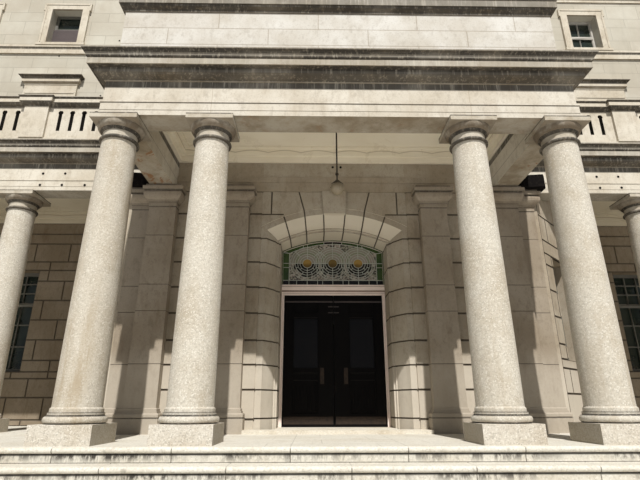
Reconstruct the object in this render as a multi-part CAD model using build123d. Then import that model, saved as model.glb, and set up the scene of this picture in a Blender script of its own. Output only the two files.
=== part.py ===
from build123d import *
import os

# Bank building, a stone front with a four-column porch between two colonnades.
# All sizes are millimetres. X runs along the front, Y from the street to the back, Z up.
# Inside this file the front has its own place: X 0 is the middle of the door, Y 0 the front of
# the column plinths, Z 0 the platform that people stand on. Every piece is moved at the end, so
# that the part stands on the ground with its origin under the middle of its footprint.

# Steps and platform
riser = 172
going = 280
riser_count = 7
nosing = 70
nosing_reach = 28
platform_edge = 120          # the platform reaches this far in front of the plinths

# Columns, one order for the porch and the colonnades
plinth_side = 750
plinth_height = 232
plinth_line = 375            # middle of the porch plinths
inner_axis = 1955
outer_axis = 3360
colonnade_line = 3053        # middle of the colonnade columns
wing_axis = 6351
foot_radius = 294
neck_radius = 248
torus_height = 96
torus_radius = 370
lower_fillet = (34, 36)      # reach beyond the shaft, top over the torus
upper_fillet = (18, 78)
shaft_start = 100            # over the torus
swell = (14, 2100)           # the shaft is only this much thinner at this height
astragal_foot = 4152
astragal_height = 50
astragal_reach = 14          # of its flat edge, the round adds half its height
echinus_foot = 4300
capital_fillet = (14, 16)    # width and height of the two fillets under the quarter-round
echinus_inset = 8            # from the slab's edges
abacus_side = 692
abacus_height = 80
soffit = 4517                # top of the abacus, underside of every stone beam

# Beams, friezes and cornices
porch_face = 91              # frieze of the porch
wing_face = 2737             # frieze of the colonnades
frieze_half = 3608           # half the length of the porch frieze
porch_beam = 456
wing_beam = 393
fascia_top = 4604
fascia_step = 6              # lower fascia set back under the upper one
fillet_foot = 4731
fillet_reach = 12            # fillet along the top of the architrave
architrave_top = 4762
frieze_step = 18             # frieze set back behind the architrave
frieze_top = 5115
bed_top = 5275
corona_top = 5375
cornice_top = 5520
cornice_reach = 290
attic_set_back = 100
attic_top = 6550
attic_cornice_top = 6950
attic_reach = 110

# Porch wall, pilasters and doorway
wall_line = 2705
wall_back = 3705
inner_pilaster_gap = 210      # from the doorway stones to the pilaster beside them
inner_pilaster_width = 570
outer_pilaster = (3040, 3610)
pilaster_taper = 32          # each edge leans in by this much up to the capital
pilaster_line = 2500
backing_edge = 3970
backing_line = 2670
pilaster_base = 245
capital_foot = 4075
capital_reach = 130
string_foot = 4490
string_fascia = 4690
string_top = 4812
string_reach = 32
surround_half = 1430         # outer line of the doorway stones
door_plane = 3600            # front of the door frame and of the leaves
stone_half = 1065            # stone opening at the door plane
arch_rise = 244
arch_spring = 3534
splay = 365                  # stones step out this much from the door plane to the wall face
door_half = 1003
door_top = 2584
transom_top = 2804
frame_depth = 90
fanlight_rim = 22            # painted edge round the fanlight
sill_height = 60
sill_reach = 330
keystone_level = 4009        # foot of its flat block, the arch's profile runs on below
keystone_foot = 213          # half widths
keystone_head = 242
keystone_reach = 70
keystone_depth = 270         # from its face into the arch stones
leaf_gap = 6
leaf_thickness = 60
meeting_stile = 317          # wide stile that carries the pull plate
hanging_stile = 202
leaf_glass = (1142, 2100)
low_panel = (300, 1022)
high_panel = (2220, 2468)
panel_depth = 16             # sunk by this much on both faces of a leaf
plate = 4
pull_plate = (195, 270, 838, 1142)   # from the meeting line, then heights
kick_plate = (110, 246)
kick_margin = 22
hinge_levels = (260, 1300, 2340)
hinge_set_in = 12            # pin this far in from the post
hinge_set_back = 11          # and this far behind the leaf
knuckle_radius = 9
knuckle = 34

# Canted walls beside the porch wall
cant_start = 4050
cant_step = 1300             # plan line of the cant: y = x - cant_step
cant_corner = 5250
wall = 520
main_face = 6200

# Wings
window_pitch = 2787
windows_each_side = 4
end_margin = 2152
ceiling = 5450
plaster_foot = 5140
cove_reach = 210
terrace_top = 5620

# Balustrade
balustrade_line = 2830
balustrade_depth = 260
balustrade_base = 5760
rail_foot = 6515
rail_fascia = (6598, 6683)
rail_top = 6730
rail_reach = 120
die_width = 510
die_proud = 60
inner_slots = (248, 250)     # from the die to the first slot, then from slot to slot
outer_slots = (154, 280)
slot_width = 76
slot_head = 104
slot_low = 5945
slot_high = 6440

# Main block
main_depth = 9000
loggia_window = (1500, 1240, 3815)   # width, sill, head
first_window = (1050, 6950, 9150)
upper_window = (966, 11190, 12550)
side_window_count = 3
glass_set_back = 300
glass = 24
surround = 225               # stone frame of an upper window
surround_reach = 60
ear = 40                     # the frame widens by this at its head
ear_drop = 60
sill_depth = 120
sill_proud = 50
hood_board = 1570            # plain board between frame and hood
hood_board_height = 235
hood_board_reach = 64
hood_height = 294
hood_reach = 160             # beyond the board
band_below_sill = 90
band_height = 300
band_fascia = 55
band_reach = 90
floor_below_band = 500
head_to_eaves = 557
eaves_height = 873
eaves_reach = 520
roof_below_eaves = 80
parapet_height = 1000
parapet_wall = 380
parapet_set_back = 60
coping_height = 150
coping_reach = 50
slab = 260

# Fittings
lamp_y = 1600
lamp_cap = 4116
lamp_cap_top = 4208
lamp_globe = 4048
lamp_radius = 125
lamp_rod = 14
housing_gap = 32             # beside the porch beams
housing = (560, 280, 263)    # width, depth, height
housing_line = 2420
cant_window = (900, 1240, 3250)

# Worked out from the sizes above
platform = riser * riser_count
half_width = window_pitch * windows_each_side + end_margin
rear_face = main_face + main_depth
steps_front = -platform_edge - going * (riser_count - 1)
shift_y = -(steps_front + rear_face + eaves_reach) / 2
bay_middle = 3 * window_pitch
far_wing_axis = 2 * bay_middle - wing_axis
wing_back = wing_face + wing_beam
attic_wall = wing_beam - attic_set_back
inner_pilaster = (surround_half + inner_pilaster_gap, surround_half + inner_pilaster_gap + inner_pilaster_width)
hood_foot = first_window[2] + surround + hood_board_height
hood_top = hood_foot + hood_height
band_top = upper_window[1] - band_below_sill
band_foot = band_top - band_height
second_floor = band_foot - floor_below_band
eaves_foot = upper_window[2] + head_to_eaves
eaves_top = eaves_foot + eaves_height
roof_level = eaves_top - roof_below_eaves
parapet_top = roof_level + parapet_height
parts = {}


def add(name, *shapes):
    """Keep a named piece, moved to the shared frame. Its solids do not touch each other."""
    solids = [s for shape in shapes for s in shape.solids()]
    parts[name] = [s.moved(Location((0, shift_y, platform))) for s in solids]


def block(x0, x1, y0, y1, z0, z1):
    return Pos(x0, y0, z0) * Box(x1 - x0, y1 - y0, z1 - z0, align=(Align.MIN, Align.MIN, Align.MIN))


def twin(shape):
    """The mirror image of a piece, on the other side of the door."""
    return mirror(shape, about=Plane.YZ)


def pair(shape):
    return shape, twin(shape)


def moulding(profile, path):
    """A profile of (reach, height) pairs carried along level straight runs, mitred at corners."""
    start = Vector(*path[0], 0)
    first = (Vector(*path[1], 0) - start).normalized()
    outward = first.cross(Vector(0, 0, 1))
    plane = Plane(origin=start, x_dir=outward, z_dir=outward.cross(Vector(0, 0, 1)))
    face = make_face(Polyline(*[plane.from_local_coords(Vector(*p)) for p in profile], close=True))
    line = Polyline(*[(x, y, 0) for x, y in path])
    return sweep(face, path=line, transition=Transition.RIGHT)


def u_shape(half, front, back, low, high, width):
    """Beams along the front and both sides of the porch."""
    hollow = block(width - half, half - width, front + width, back, low, high)
    return block(-half, half, front, back, low, high) - hollow


def ring(half, front, back, low, high, width):
    hollow = block(width - half, half - width, front + width, back - width, low, high)
    return block(-half, half, front, back, low, high) - hollow


# Steps and platform: each tread ends in a half-round nosing over its riser
radius = nosing / 2
with BuildSketch(Plane.YZ) as profile:
    with BuildLine():
        y = steps_front
        z = -platform
        last = Line((-platform_edge + nosing_reach, z), (y + nosing_reach, z)) @ 1
        for _ in range(riser_count - 1):
            z += riser
            last = Line(last, (y + nosing_reach, z - nosing)) @ 1
            if nosing_reach < radius:
                last = Line(last, (y + radius, z - nosing)) @ 1
            last = ThreePointArc(last, (y, z - radius), (y + radius, z)) @ 1
            y += going
            last = Line(last, (y + nosing_reach, z)) @ 1
        Line(last, (-platform_edge + nosing_reach, -platform))
    make_face()
add("front_steps", Pos(-half_width, 0, 0) * extrude(profile.sketch, 2 * half_width, dir=(1, 0, 0)))
with BuildSketch(Plane.YZ) as profile:
    with BuildLine():
        y = -platform_edge
        top = ThreePointArc((y + radius, -nosing), (y, -radius), (y + radius, 0))
        Polyline(top @ 1, (rear_face, 0), (rear_face, -nosing), top @ 0)
    make_face()
add("platform", Pos(-half_width, 0, 0) * extrude(profile.sketch, 2 * half_width, dir=(1, 0, 0)))
podium_front = -platform_edge + nosing_reach
add("podium", block(-half_width, half_width, podium_front, rear_face, -platform, -nosing))

# Columns: square plinth, torus and two fillets, swelling shaft, ring, quarter-round, square slab
places = [(x, plinth_line) for x in (-outer_axis, -inner_axis, inner_axis, outer_axis)]
places += [(s * x, colonnade_line) for s in (-1, 1) for x in (wing_axis, far_wing_axis)]
half = plinth_side / 2
add("column_plinths", *[block(x - half, x + half, y - half, y + half, 0, plinth_height) for x, y in places])
torus_top = plinth_height + torus_height
with BuildSketch(Plane.XZ) as profile:
    with BuildLine():
        bulge = torus_height / 2
        a = Line((0, plinth_height), (torus_radius - bulge, plinth_height))
        b = ThreePointArc(a @ 1, (torus_radius, plinth_height + bulge), (torus_radius - bulge, torus_top))
        low_reach, low_top = foot_radius + lower_fillet[0], torus_top + lower_fillet[1]
        high_reach, high_top = foot_radius + upper_fillet[0], torus_top + upper_fillet[1]
        c = Polyline(b @ 1, (low_reach, torus_top), (low_reach, low_top), (high_reach, low_top),
                     (high_reach, high_top), (foot_radius, torus_top + shaft_start))
        d = ThreePointArc(c @ 1, (foot_radius - swell[0], swell[1]), (neck_radius, astragal_foot))
        Polyline(d @ 1, (0, astragal_foot), (0, plinth_height))
    make_face()
shaft = revolve(profile.sketch, Axis.Z)
add("column_shafts", *[Pos(x, y, 0) * shaft for x, y in places])
slab_foot = soffit - abacus_height
with BuildSketch(Plane.XZ) as profile:
    with BuildLine():
        r = neck_radius
        bulge = astragal_height / 2
        ring_top = astragal_foot + astragal_height
        edge = r + astragal_reach
        a = Polyline((0, astragal_foot), (edge, astragal_foot))
        b = ThreePointArc(a @ 1, (edge + bulge, astragal_foot + bulge), (edge, ring_top))
        out, up = capital_fillet
        c = Polyline(b @ 1, (edge, ring_top + up), (r, ring_top + up + 10), (r, echinus_foot),
                     (r + out, echinus_foot), (r + out, echinus_foot + up), (r + 2 * out, echinus_foot + up),
                     (r + 2 * out, echinus_foot + 2 * up))
        widest = abacus_side / 2 - echinus_inset
        d = ThreePointArc(c @ 1, (r + 80, echinus_foot + 78), (widest, slab_foot - echinus_inset))
        Polyline(d @ 1, (widest, slab_foot), (0, slab_foot), (0, astragal_foot))
    make_face()
half = abacus_side / 2
capital = revolve(profile.sketch, Axis.Z) + block(-half, half, -half, half, slab_foot, soffit)
add("column_capitals", *[Pos(x, y, 0) * capital for x, y in places])

# Porch beams and frieze
inner_face = frieze_half - porch_beam


def porch_beams(low, high, set_back):
    return u_shape(frieze_half - set_back, porch_face + set_back, wall_line, low, high, porch_beam - set_back)


architrave = porch_beams(soffit, fascia_top, fascia_step) + porch_beams(fascia_top, fillet_foot, 0)
architrave += porch_beams(fillet_foot, architrave_top, -fillet_reach)
add("porch_architrave", architrave)
frieze = porch_beams(architrave_top, frieze_top, frieze_step)
lining = porch_beam - wing_beam
frieze += u_shape(frieze_half - wing_beam, porch_face + wing_beam, wall_line, frieze_top, ceiling, lining)
add("porch_frieze", frieze)

# Colonnade beams and frieze, returned along the ends
end_face = half_width


def wing_beams(low, high, set_back):
    front = block(frieze_half, end_face - set_back, wing_face + set_back, wing_back, low, high)
    end = block(end_face - wing_beam, end_face - set_back, wing_back, main_face, low, high)
    return front + end


beam = wing_beams(soffit, fascia_top, fascia_step) + wing_beams(fascia_top, fillet_foot, 0)
beam += wing_beams(fillet_foot, architrave_top, -fillet_reach)
beam -= porch_beams(fillet_foot, architrave_top, -fillet_reach)
add("wing_architraves", *pair(beam))
add("wing_friezes", *pair(wing_beams(architrave_top, frieze_top, frieze_step)))

# One cornice runs round both wings and the porch
reach = cornice_reach
profile = [(-wing_beam, frieze_top), (0, frieze_top), (8, frieze_top + 12), (40, frieze_top + 20),
           (98, frieze_top + 52), (112, frieze_top + 68), (120, frieze_top + 74), (120, bed_top - 12),
           (reach - 100, bed_top - 12), (reach - 82, bed_top), (reach - 82, corona_top),
           (reach - 62, corona_top + 20), (reach - 57, corona_top + 42), (reach - 50, corona_top + 68),
           (reach - 30, corona_top + 100), (reach - 4, corona_top + 122), (reach, corona_top + 124),
           (reach, cornice_top), (-wing_beam, cornice_top)]
path = [(-end_face, main_face), (-end_face, wing_face), (-frieze_half, wing_face),
        (-frieze_half, porch_face), (frieze_half, porch_face), (frieze_half, wing_face),
        (end_face, wing_face), (end_face, main_face)]
add("cornice", moulding(profile, path))

# Attic wall over the porch, with its own cornice
attic_half = frieze_half - attic_set_back
attic_face = porch_face + attic_set_back
attic_back = balustrade_line + balustrade_depth
add("attic_wall", u_shape(attic_half, attic_face, attic_back, cornice_top, attic_top, attic_wall))
reach = attic_reach
profile = [(-attic_wall, attic_top), (18, attic_top), (18, attic_top + 30), (70, attic_top + 74),
           (70, attic_top + 106), (reach - 14, attic_top + 106), (reach - 14, attic_top + 226),
           (reach, attic_top + 240), (reach, attic_top + 286), (40, attic_cornice_top - 60),
           (40, attic_cornice_top), (-attic_wall, attic_cornice_top)]
path = [(-attic_half, attic_back), (-attic_half, attic_face), (attic_half, attic_face), (attic_half, attic_back)]
add("attic_cornice", moulding(profile, path))


# Plaster ceilings with a stepped cove round the walls
def plaster(x0, x1, y0, y1):
    """A ceiling and its cove inside four walls, hollow below."""
    levels = [(plaster_foot, plaster_foot + 118, 60), (plaster_foot + 118, plaster_foot + 248, 130),
              (plaster_foot + 248, ceiling - 22, cove_reach)]
    shape = block(x0, x1, y0, y1, ceiling - 22, ceiling)
    for low, high, r in levels:
        shape += block(x0, x1, y0, y1, low, high) - block(x0 + r, x1 - r, y0 + r, y1 - r, low, high)
    return shape


add("porch_ceiling", plaster(-inner_face, inner_face, porch_face + porch_beam, wall_line))
add("loggia_ceilings", *pair(plaster(cant_corner, end_face - wing_beam, wing_back, main_face)))

# Roof terrace over the porch and the loggias
half = frieze_half - wing_beam
terrace = block(-half, half, porch_face + wing_beam, wing_back, ceiling, terrace_top)
half = end_face - wing_beam
terrace += block(-half, half, wing_back, main_face, ceiling, terrace_top)
terrace += block(-cant_corner, cant_corner, main_face, main_face + wall, ceiling, terrace_top)
add("terrace", terrace)

# Porch wall: a long plain wall each side, the doorway stones between
wall_cut = block(frieze_half, cant_start, wall_line, wing_back, soffit, ceiling)
wall_cut += block(frieze_half - wing_beam, cant_start, wall_line, wing_back, frieze_top, ceiling)
side_wall = block(surround_half, cant_start, wall_line, wall_back, 0, ceiling) - wall_cut
add("porch_walls", *pair(side_wall))

# Doorway: splayed stones, the same profile on the jambs and round the flat arch
arch_radius = (stone_half ** 2 + arch_rise ** 2) / (2 * arch_rise)
arch_centre = arch_spring + arch_rise - arch_radius
depths = [(wall_line - 1, splay), (wall_line + 14, splay), (wall_line + 14, 250), (wall_line + 60, 222),
          (wall_line + 130, 170), (wall_line + 220, 100), (wall_line + 320, 62), (wall_line + 320, 36),
          (wall_line + 372, 36), (wall_line + 372, 0), (wall_back + 1, 0)]
flat = [(d + stone_half, y) for y, d in depths]
jamb_plan = [(-x, y) for x, y in reversed(flat)] + flat
corners = [(x, y, -1) for x, y in jamb_plan]
jamb_gap = extrude(make_face(Polyline(*corners, close=True)), 5000, dir=(0, 0, 1))
outline = [(0, depths[0][0])] + [(d + arch_radius, y) for y, d in depths] + [(0, depths[-1][0])]
turned = make_face(Polyline(*[(x, y, arch_centre) for x, y in outline], close=True))
arch_gap = revolve(turned, Axis((0, 0, arch_centre), (0, 1, 0)))
low_gap = block(-2 * surround_half, 2 * surround_half, wall_line - 1, wall_back + 1, -1, arch_spring)
stones = block(-surround_half, surround_half, wall_line, wall_back, 0, ceiling)
stones -= jamb_gap & (arch_gap + low_gap)
with BuildSketch(Plane.XZ.offset(-wall_line + keystone_reach)) as face:
    Polygon((-keystone_foot, keystone_level), (keystone_foot, keystone_level), (keystone_head, string_foot),
            (-keystone_head, string_foot), align=None)
key = extrude(face.sketch, keystone_depth, dir=(0, 1, 0))
split = arch_spring - 100
add("door_arch", stones & block(-surround_half, surround_half, wall_line, wall_back, split, ceiling))
jambs = stones & block(-surround_half, surround_half, wall_line, wall_back, 0, split)
add("door_jambs", *jambs.solids())
add("keystone", key - stones)

# Pilasters, one pair beside the doorway and a stepped pair at the ends of the porch
base = [(-30, 0), (66, 0), (66, pilaster_base), (52, pilaster_base), (64, pilaster_base + 22),
        (64, pilaster_base + 60), (52, pilaster_base + 82), (30, pilaster_base + 82),
        (30, pilaster_base + 112), (14, pilaster_base + 112), (14, pilaster_base + 150),
        (0, pilaster_base + 162), (-30, pilaster_base + 162)]
foot, reach = capital_foot, capital_reach
head = [(-30, foot), (8, foot), (8, foot + 55), (0, foot + 60), (0, foot + 84), (20, foot + 88),
        (20, foot + 108), (36, foot + 108), (36, foot + 130), (reach - 50, foot + 165), (reach - 26, foot + 205),
        (reach - 18, foot + 255), (reach - 26, foot + 290), (reach - 40, foot + 294), (reach - 40, foot + 318),
        (reach, foot + 322), (reach, foot + 392), (reach - 44, foot + 400), (reach - 44, soffit), (-30, soffit)]
lean = pilaster_taper


def pilaster(x0, x1):
    """A shaft whose two edges lean in towards its capital."""
    face = Polyline((x0, pilaster_line, 0), (x1, pilaster_line, 0), (x1 - lean, pilaster_line, soffit),
                    (x0 + lean, pilaster_line, soffit), close=True)
    return extrude(make_face(face), wall_line - pilaster_line, dir=(0, 1, 0))


def inner_path(x0, x1):
    return [(x0, wall_line), (x0, pilaster_line), (x1, pilaster_line), (x1, wall_line)]


def outer_path(x0, x1):
    return [(x0, wall_line), (x0, pilaster_line), (x1, pilaster_line), (x1, backing_line),
            (backing_edge, backing_line), (backing_edge, wall_line)]


x0, x1 = inner_pilaster
inner = pilaster(x0, x1) + moulding(base, inner_path(x0, x1)) + moulding(head, inner_path(x0 + lean, x1 - lean))
x0, x1 = outer_pilaster
outer = pilaster(x0, x1) + block(x1 - lean, backing_edge, backing_line, wall_line, 0, soffit)
outer += moulding(base, outer_path(x0, x1)) + moulding(head, outer_path(x0 + lean, x1 - lean))
add("pilasters", *pair(inner), *pair(outer))

# String along the back wall of the porch, behind the capitals
string = block(-inner_face, inner_face, wall_line - string_reach + 10, wall_line, string_foot, string_fascia)
string += block(-inner_face, inner_face, wall_line - string_reach, wall_line, string_fascia, string_top)
for shape in (inner, outer):
    string -= list(pair(shape))
add("porch_string", string)

# Stone sill along the foot of the porch wall, between the inner pilasters and through the doorway
sill_half = inner_pilaster[0] - 66
sill = block(-sill_half, sill_half, wall_line - sill_reach, wall_line, 0, sill_height)
sill += block(-stone_half, stone_half, wall_line, wall_back, 0, sill_height)
sill -= jambs
add("door_sill", sill)

# Painted frame: two posts, a deep transom and a head that follows the arch
frame_back = door_plane + frame_depth
full = block(-stone_half, stone_half, door_plane, frame_back, sill_height, arch_spring + arch_rise)


def arch_disc(radius, y0, y1):
    """A level disc on the arch's centre, standing across the doorway."""
    disc = Cylinder(radius, y1 - y0, align=(Align.CENTER, Align.CENTER, Align.MIN))
    return Pos(0, y0, arch_centre) * Rot(-90, 0, 0) * disc


frame_head = arch_spring + arch_rise
rim = fanlight_rim
light = block(rim - stone_half, stone_half - rim, door_plane, frame_back, transom_top, frame_head)
light &= arch_disc(arch_radius - rim, door_plane, frame_back)
frame = full & arch_disc(arch_radius, door_plane, frame_back)
frame -= light + block(-door_half, door_half, door_plane, frame_back, sill_height, door_top)
add("door_frame", frame)
near = door_plane + 40
add("fanlight", light & block(-stone_half, stone_half, near, near + glass, transom_top, frame_head))


# Door leaves: stiles and rails with sunk panels, and a tall light of glass
def leaf_block(x0, x1, z0, z1, sunk=0):
    return block(x0, x1, door_plane + sunk, door_plane + leaf_thickness - sunk, z0, z1)


leaf_inner = leaf_gap / 2
leaf_outer = door_half - leaf_gap
leaf_back = door_plane + leaf_thickness
leaf = leaf_block(leaf_inner, leaf_outer, sill_height + leaf_gap, door_top - leaf_gap)
left, right = leaf_inner + meeting_stile, leaf_outer - hanging_stile
for low, high in (low_panel, high_panel):
    leaf -= leaf_block(left, right, low, high)
    leaf += leaf_block(left, right, low, high, panel_depth)
leaf -= leaf_block(left, right, *leaf_glass)
light = leaf_block(left, right, *leaf_glass, (leaf_thickness - glass) / 2 + 4)

# Hinges: on each post a plate with two knuckles, on the leaf one knuckle that rests between them
pin_x = door_half - hinge_set_in
pin_y = leaf_back + hinge_set_back
hinge_plate = 2
web = 6


def knuckles(low):
    pin = Cylinder(knuckle_radius, knuckle, align=(Align.CENTER, Align.CENTER, Align.MIN))
    return Pos(pin_x, pin_y, low) * pin


hinges = []
for level in hinge_levels:
    fixed = block(door_half - hinge_plate, door_half, leaf_back + 4, frame_back, level, level + 3 * knuckle + 2)
    for low in (level, level + 2 * knuckle + 2):
        fixed += knuckles(low) + block(pin_x, door_half, pin_y - web / 2, pin_y + web / 2, low, low + knuckle)
    hinges.append(fixed)
    low = level + knuckle
    leaf += knuckles(low) + block(pin_x - knuckle_radius + 2, pin_x + web, leaf_back, pin_y, low, low + knuckle)
add("door_hinges", *[s for h in hinges for s in pair(h)])
add("door_leaf_left", twin(leaf))
add("door_leaf_right", leaf)
add("door_glass_left", twin(light))
add("door_glass_right", light)
x0, x1, low, high = pull_plate
plates = block(x0, x1, door_plane - plate, door_plane, low, high)
plates += block(leaf_inner + kick_margin, leaf_outer - kick_margin, door_plane - plate, door_plane, *kick_plate)
add("door_plates_left", twin(plates))
add("door_plates_right", plates)

# Canted walls from the outer pilasters back to the loggias, each with a window
plan = [(cant_start, cant_start - cant_step), (cant_corner, cant_corner - cant_step), (cant_corner, main_face),
        (cant_corner - wall, main_face)]
inner_run = cant_step - wall * 2 ** 0.5
plan += [(cant_corner - wall, cant_corner - wall - inner_run), (wall_back + inner_run, wall_back),
         (cant_start, wall_back)]
cant = extrude(make_face(Polyline(*[(x, y, 0) for x, y in plan], close=True)), ceiling, dir=(0, 0, 1))
cant -= block(frieze_half, cant_corner + 100, wall_line, wing_back, soffit, ceiling + 1)
middle = (cant_start + cant_corner) / 2
width, low, high = cant_window
place = Location((middle, middle - cant_step, 0), (0, 0, 45))
opening = block(-width / 2, width / 2, -1.5 * wall, 1.5 * wall, low, high)
pane = block(-width / 2, width / 2, glass_set_back, glass_set_back + glass, low, high)
cant -= opening.moved(place)
add("canted_walls", *pair(cant))
cant_panes = pair(pane.moved(place))


# Walls with rows of windows. Each run has a length, a start and rows of (width, sill, head)
def window_row(centres, size):
    width, low, high = size
    return [(x - width / 2, x + width / 2, low, high) for x in centres]


def walls_and_glass(x0, x1, face, low, high, holes, rear=False):
    """A wall along X and its panes. The panes sit in the openings, set back from the face."""
    body = block(x0, x1, face, face + wall, low, high)
    for a, b, c, d in holes:
        body -= block(a, b, face, face + wall, c, d)
    near = face + wall - glass_set_back - glass if rear else face + glass_set_back
    return body, [block(a, b, near, near + glass, c, d) for a, b, c, d in holes]


side_pitch = (main_depth - 2 * wall) / side_window_count
bays = [window_pitch * k for k in range(-windows_each_side, windows_each_side + 1)]
loggia_bays = [window_pitch * k for k in (3, 4)]
holes = window_row(loggia_bays, loggia_window)
body, panes = walls_and_glass(cant_corner - wall, half_width, main_face, 0, terrace_top, holes)
body -= block(0, cant_corner, main_face, main_face + wall, ceiling, terrace_top)
add("loggia_walls", *pair(body))
loggia_panes = [s for p in panes for s in pair(p)]
holes = window_row(bays, first_window) + window_row(bays, upper_window)
body, panes = walls_and_glass(-half_width, half_width, main_face, terrace_top, roof_level, holes)
add("front_wall", body)
front_panes = panes
rear_start = rear_face - wall
lower = window_row(bays, loggia_window)
body, rear_panes = walls_and_glass(-half_width, half_width, rear_start, 0, roof_level, lower + holes, rear=True)
add("rear_wall", body)
side = block(half_width - wall, half_width, main_face + wall, rear_start, 0, roof_level)
side_panes = []
for k in range(side_window_count):
    y = main_face + wall + side_pitch * (k + 0.5)
    for width, low, high in (loggia_window, first_window, upper_window):
        side -= block(half_width - wall, half_width, y - width / 2, y + width / 2, low, high)
        x = half_width - glass_set_back
        side_panes.append(block(x - glass, x, y - width / 2, y + width / 2, low, high))
add("side_walls", *pair(side))
add("front_glass", *cant_panes, *loggia_panes, *front_panes)
add("rear_glass", *rear_panes)
add("side_glass", *[s for p in side_panes for s in pair(p)])
end = block(half_width - wing_beam, half_width - fascia_step, wing_face + fascia_step, main_face, 0, soffit)
add("end_walls", *pair(end))

# Floors and roof inside the main block
inside = half_width - wall
back = main_face + wall
lower_floor = block(-inside, inside, back, rear_start, terrace_top - slab, terrace_top)
upper_floor = block(-inside, inside, back, rear_start, second_floor - slab, second_floor)
add("floors", lower_floor, upper_floor)
add("roof", block(-inside, inside, back, rear_start, roof_level - slab, roof_level))

# Bands, hoods, window surrounds and eaves on the main block
band = [(0, band_foot), (band_fascia, band_foot), (band_fascia, band_foot + 155),
        (band_fascia + 10, band_foot + 190), (band_reach, band_foot + 226), (band_reach, band_top), (0, band_top)]
round_path = [(0, rear_face), (-half_width, rear_face), (-half_width, main_face), (half_width, main_face),
              (half_width, rear_face), (0, rear_face)]
upper_band = moulding(band, round_path)
reach = cornice_reach
lower_band = [(0, frieze_top), (95, frieze_top + 120), (120, bed_top - 12), (reach - 100, bed_top - 12),
              (reach - 82, corona_top), (reach, corona_top + 84), (reach, cornice_top), (0, cornice_top)]
side_path = [(half_width, main_face), (half_width, rear_face), (-half_width, rear_face), (-half_width, main_face)]
add("wall_bands", upper_band, moulding(lower_band, side_path))
reach = eaves_reach
eaves = [(0, eaves_foot), (40, eaves_foot), (40, eaves_foot + 90), (24, eaves_foot + 90), (24, eaves_foot + 420),
         (120, eaves_foot + 520), (120, eaves_foot + 560), (reach - 90, eaves_foot + 560),
         (reach - 90, eaves_foot + 730), (reach, eaves_foot + 830), (reach, eaves_top), (0, eaves_top)]
add("eaves", moulding(eaves, round_path))


# Trim of a window, seen from outside with its wall face at Y 0: eared frame and sill
def window_trim(size, foot):
    width, low, high = size
    out = width / 2 + surround
    shape = block(-out, out, -surround_reach, 0, low, high + surround)
    shape += block(-out - ear, out + ear, -surround_reach, 0, high - ear_drop, high + surround)
    shape += block(-out - ear, out + ear, -surround_reach - sill_proud, 0, foot, low)
    return shape - block(-width / 2, width / 2, -surround_reach, 0, low, high)


# Hood over a first floor window: a plain board, and round its head a bed, a fascia and a hollow moulding
def window_hood():
    out, depth, foot, reach = hood_board / 2, hood_board_reach, hood_foot, hood_reach
    shape = block(-out, out, -depth, 0, first_window[2] + surround, hood_top)
    hood = [(-60, foot), (12, foot), (24, foot + 40), (58, foot + 76), (58, foot + 90), (75, foot + 90),
            (75, foot + 190), (88, foot + 194), (98, foot + 232), (reach - 6, foot + 268), (reach, foot + 270),
            (reach, hood_top), (-60, hood_top)]
    return shape + moulding(hood, [(-out, 0), (-out, -depth), (out, -depth), (out, 0)])


def round_the_block(shape):
    """Copies of a piece at each window of the front, the rear and both sides."""
    copies = []
    for x in bays:
        copies += [Pos(x, main_face, 0) * shape, Pos(x, rear_face, 0) * Rot(0, 0, 180) * shape]
    for k in range(side_window_count):
        y = main_face + wall + side_pitch * (k + 0.5)
        copies += [Pos(s * half_width, y, 0) * Rot(0, 0, 90 * s) * shape for s in (1, -1)]
    return copies


trims = round_the_block(window_trim(first_window, first_window[1] - sill_depth))
trims += round_the_block(window_trim(upper_window, band_top))
add("window_trim", *trims)
add("window_hoods", *round_the_block(window_hood()))

# Parapet round the roof, with a coping
lines = half_width - parapet_set_back, main_face + parapet_set_back, rear_face - parapet_set_back
coping_foot = parapet_top - coping_height
grown = lines[0] + coping_reach, lines[1] - coping_reach, lines[2] + coping_reach
parapet = ring(*lines, roof_level, coping_foot, parapet_wall)
parapet += ring(*grown, coping_foot, parapet_top, parapet_wall + 2 * coping_reach)
add("parapet", parapet)

# Balustrade along each wing: base, pierced wall, rail, and dies over the columns
line = balustrade_line
depth = balustrade_depth
side_line = half_width - (line - wing_face)


def fence(grow, low, high):
    """The front run and its return along the end of a wing, widened by grow on both faces."""
    front = block(attic_half, side_line + grow, line - grow, line + depth + grow, low, high)
    inner_x = side_line - depth - grow
    return front + block(inner_x, side_line + grow, line + depth + grow, main_face, low, high)


low, high = rail_fascia
rail = [(16, rail_foot), (16, rail_foot + 18), (34, rail_foot + 32), (60, rail_foot + 66), (66, low),
        (rail_reach - 30, low), (rail_reach - 30, high), (rail_reach - 22, high + 8), (rail_reach - 4, high + 30),
        (rail_reach, high + 32), (rail_reach, rail_top)]


def die(x0, x1):
    """A solid block of the balustrade, under a cap with the rail's own profile."""
    y0, y1 = line - die_proud, line + depth + die_proud
    middle = (x0 + x1) / 2
    round_die = [(middle, y1), (x0, y1), (x0, y0), (x1, y0), (x1, y1), (middle, y1)]
    cap = [(-100, rail_foot), *rail, (-100, rail_top)]
    return block(x0, x1, y0, y1, balustrade_base, rail_top) + moulding(cap, round_die)


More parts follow.
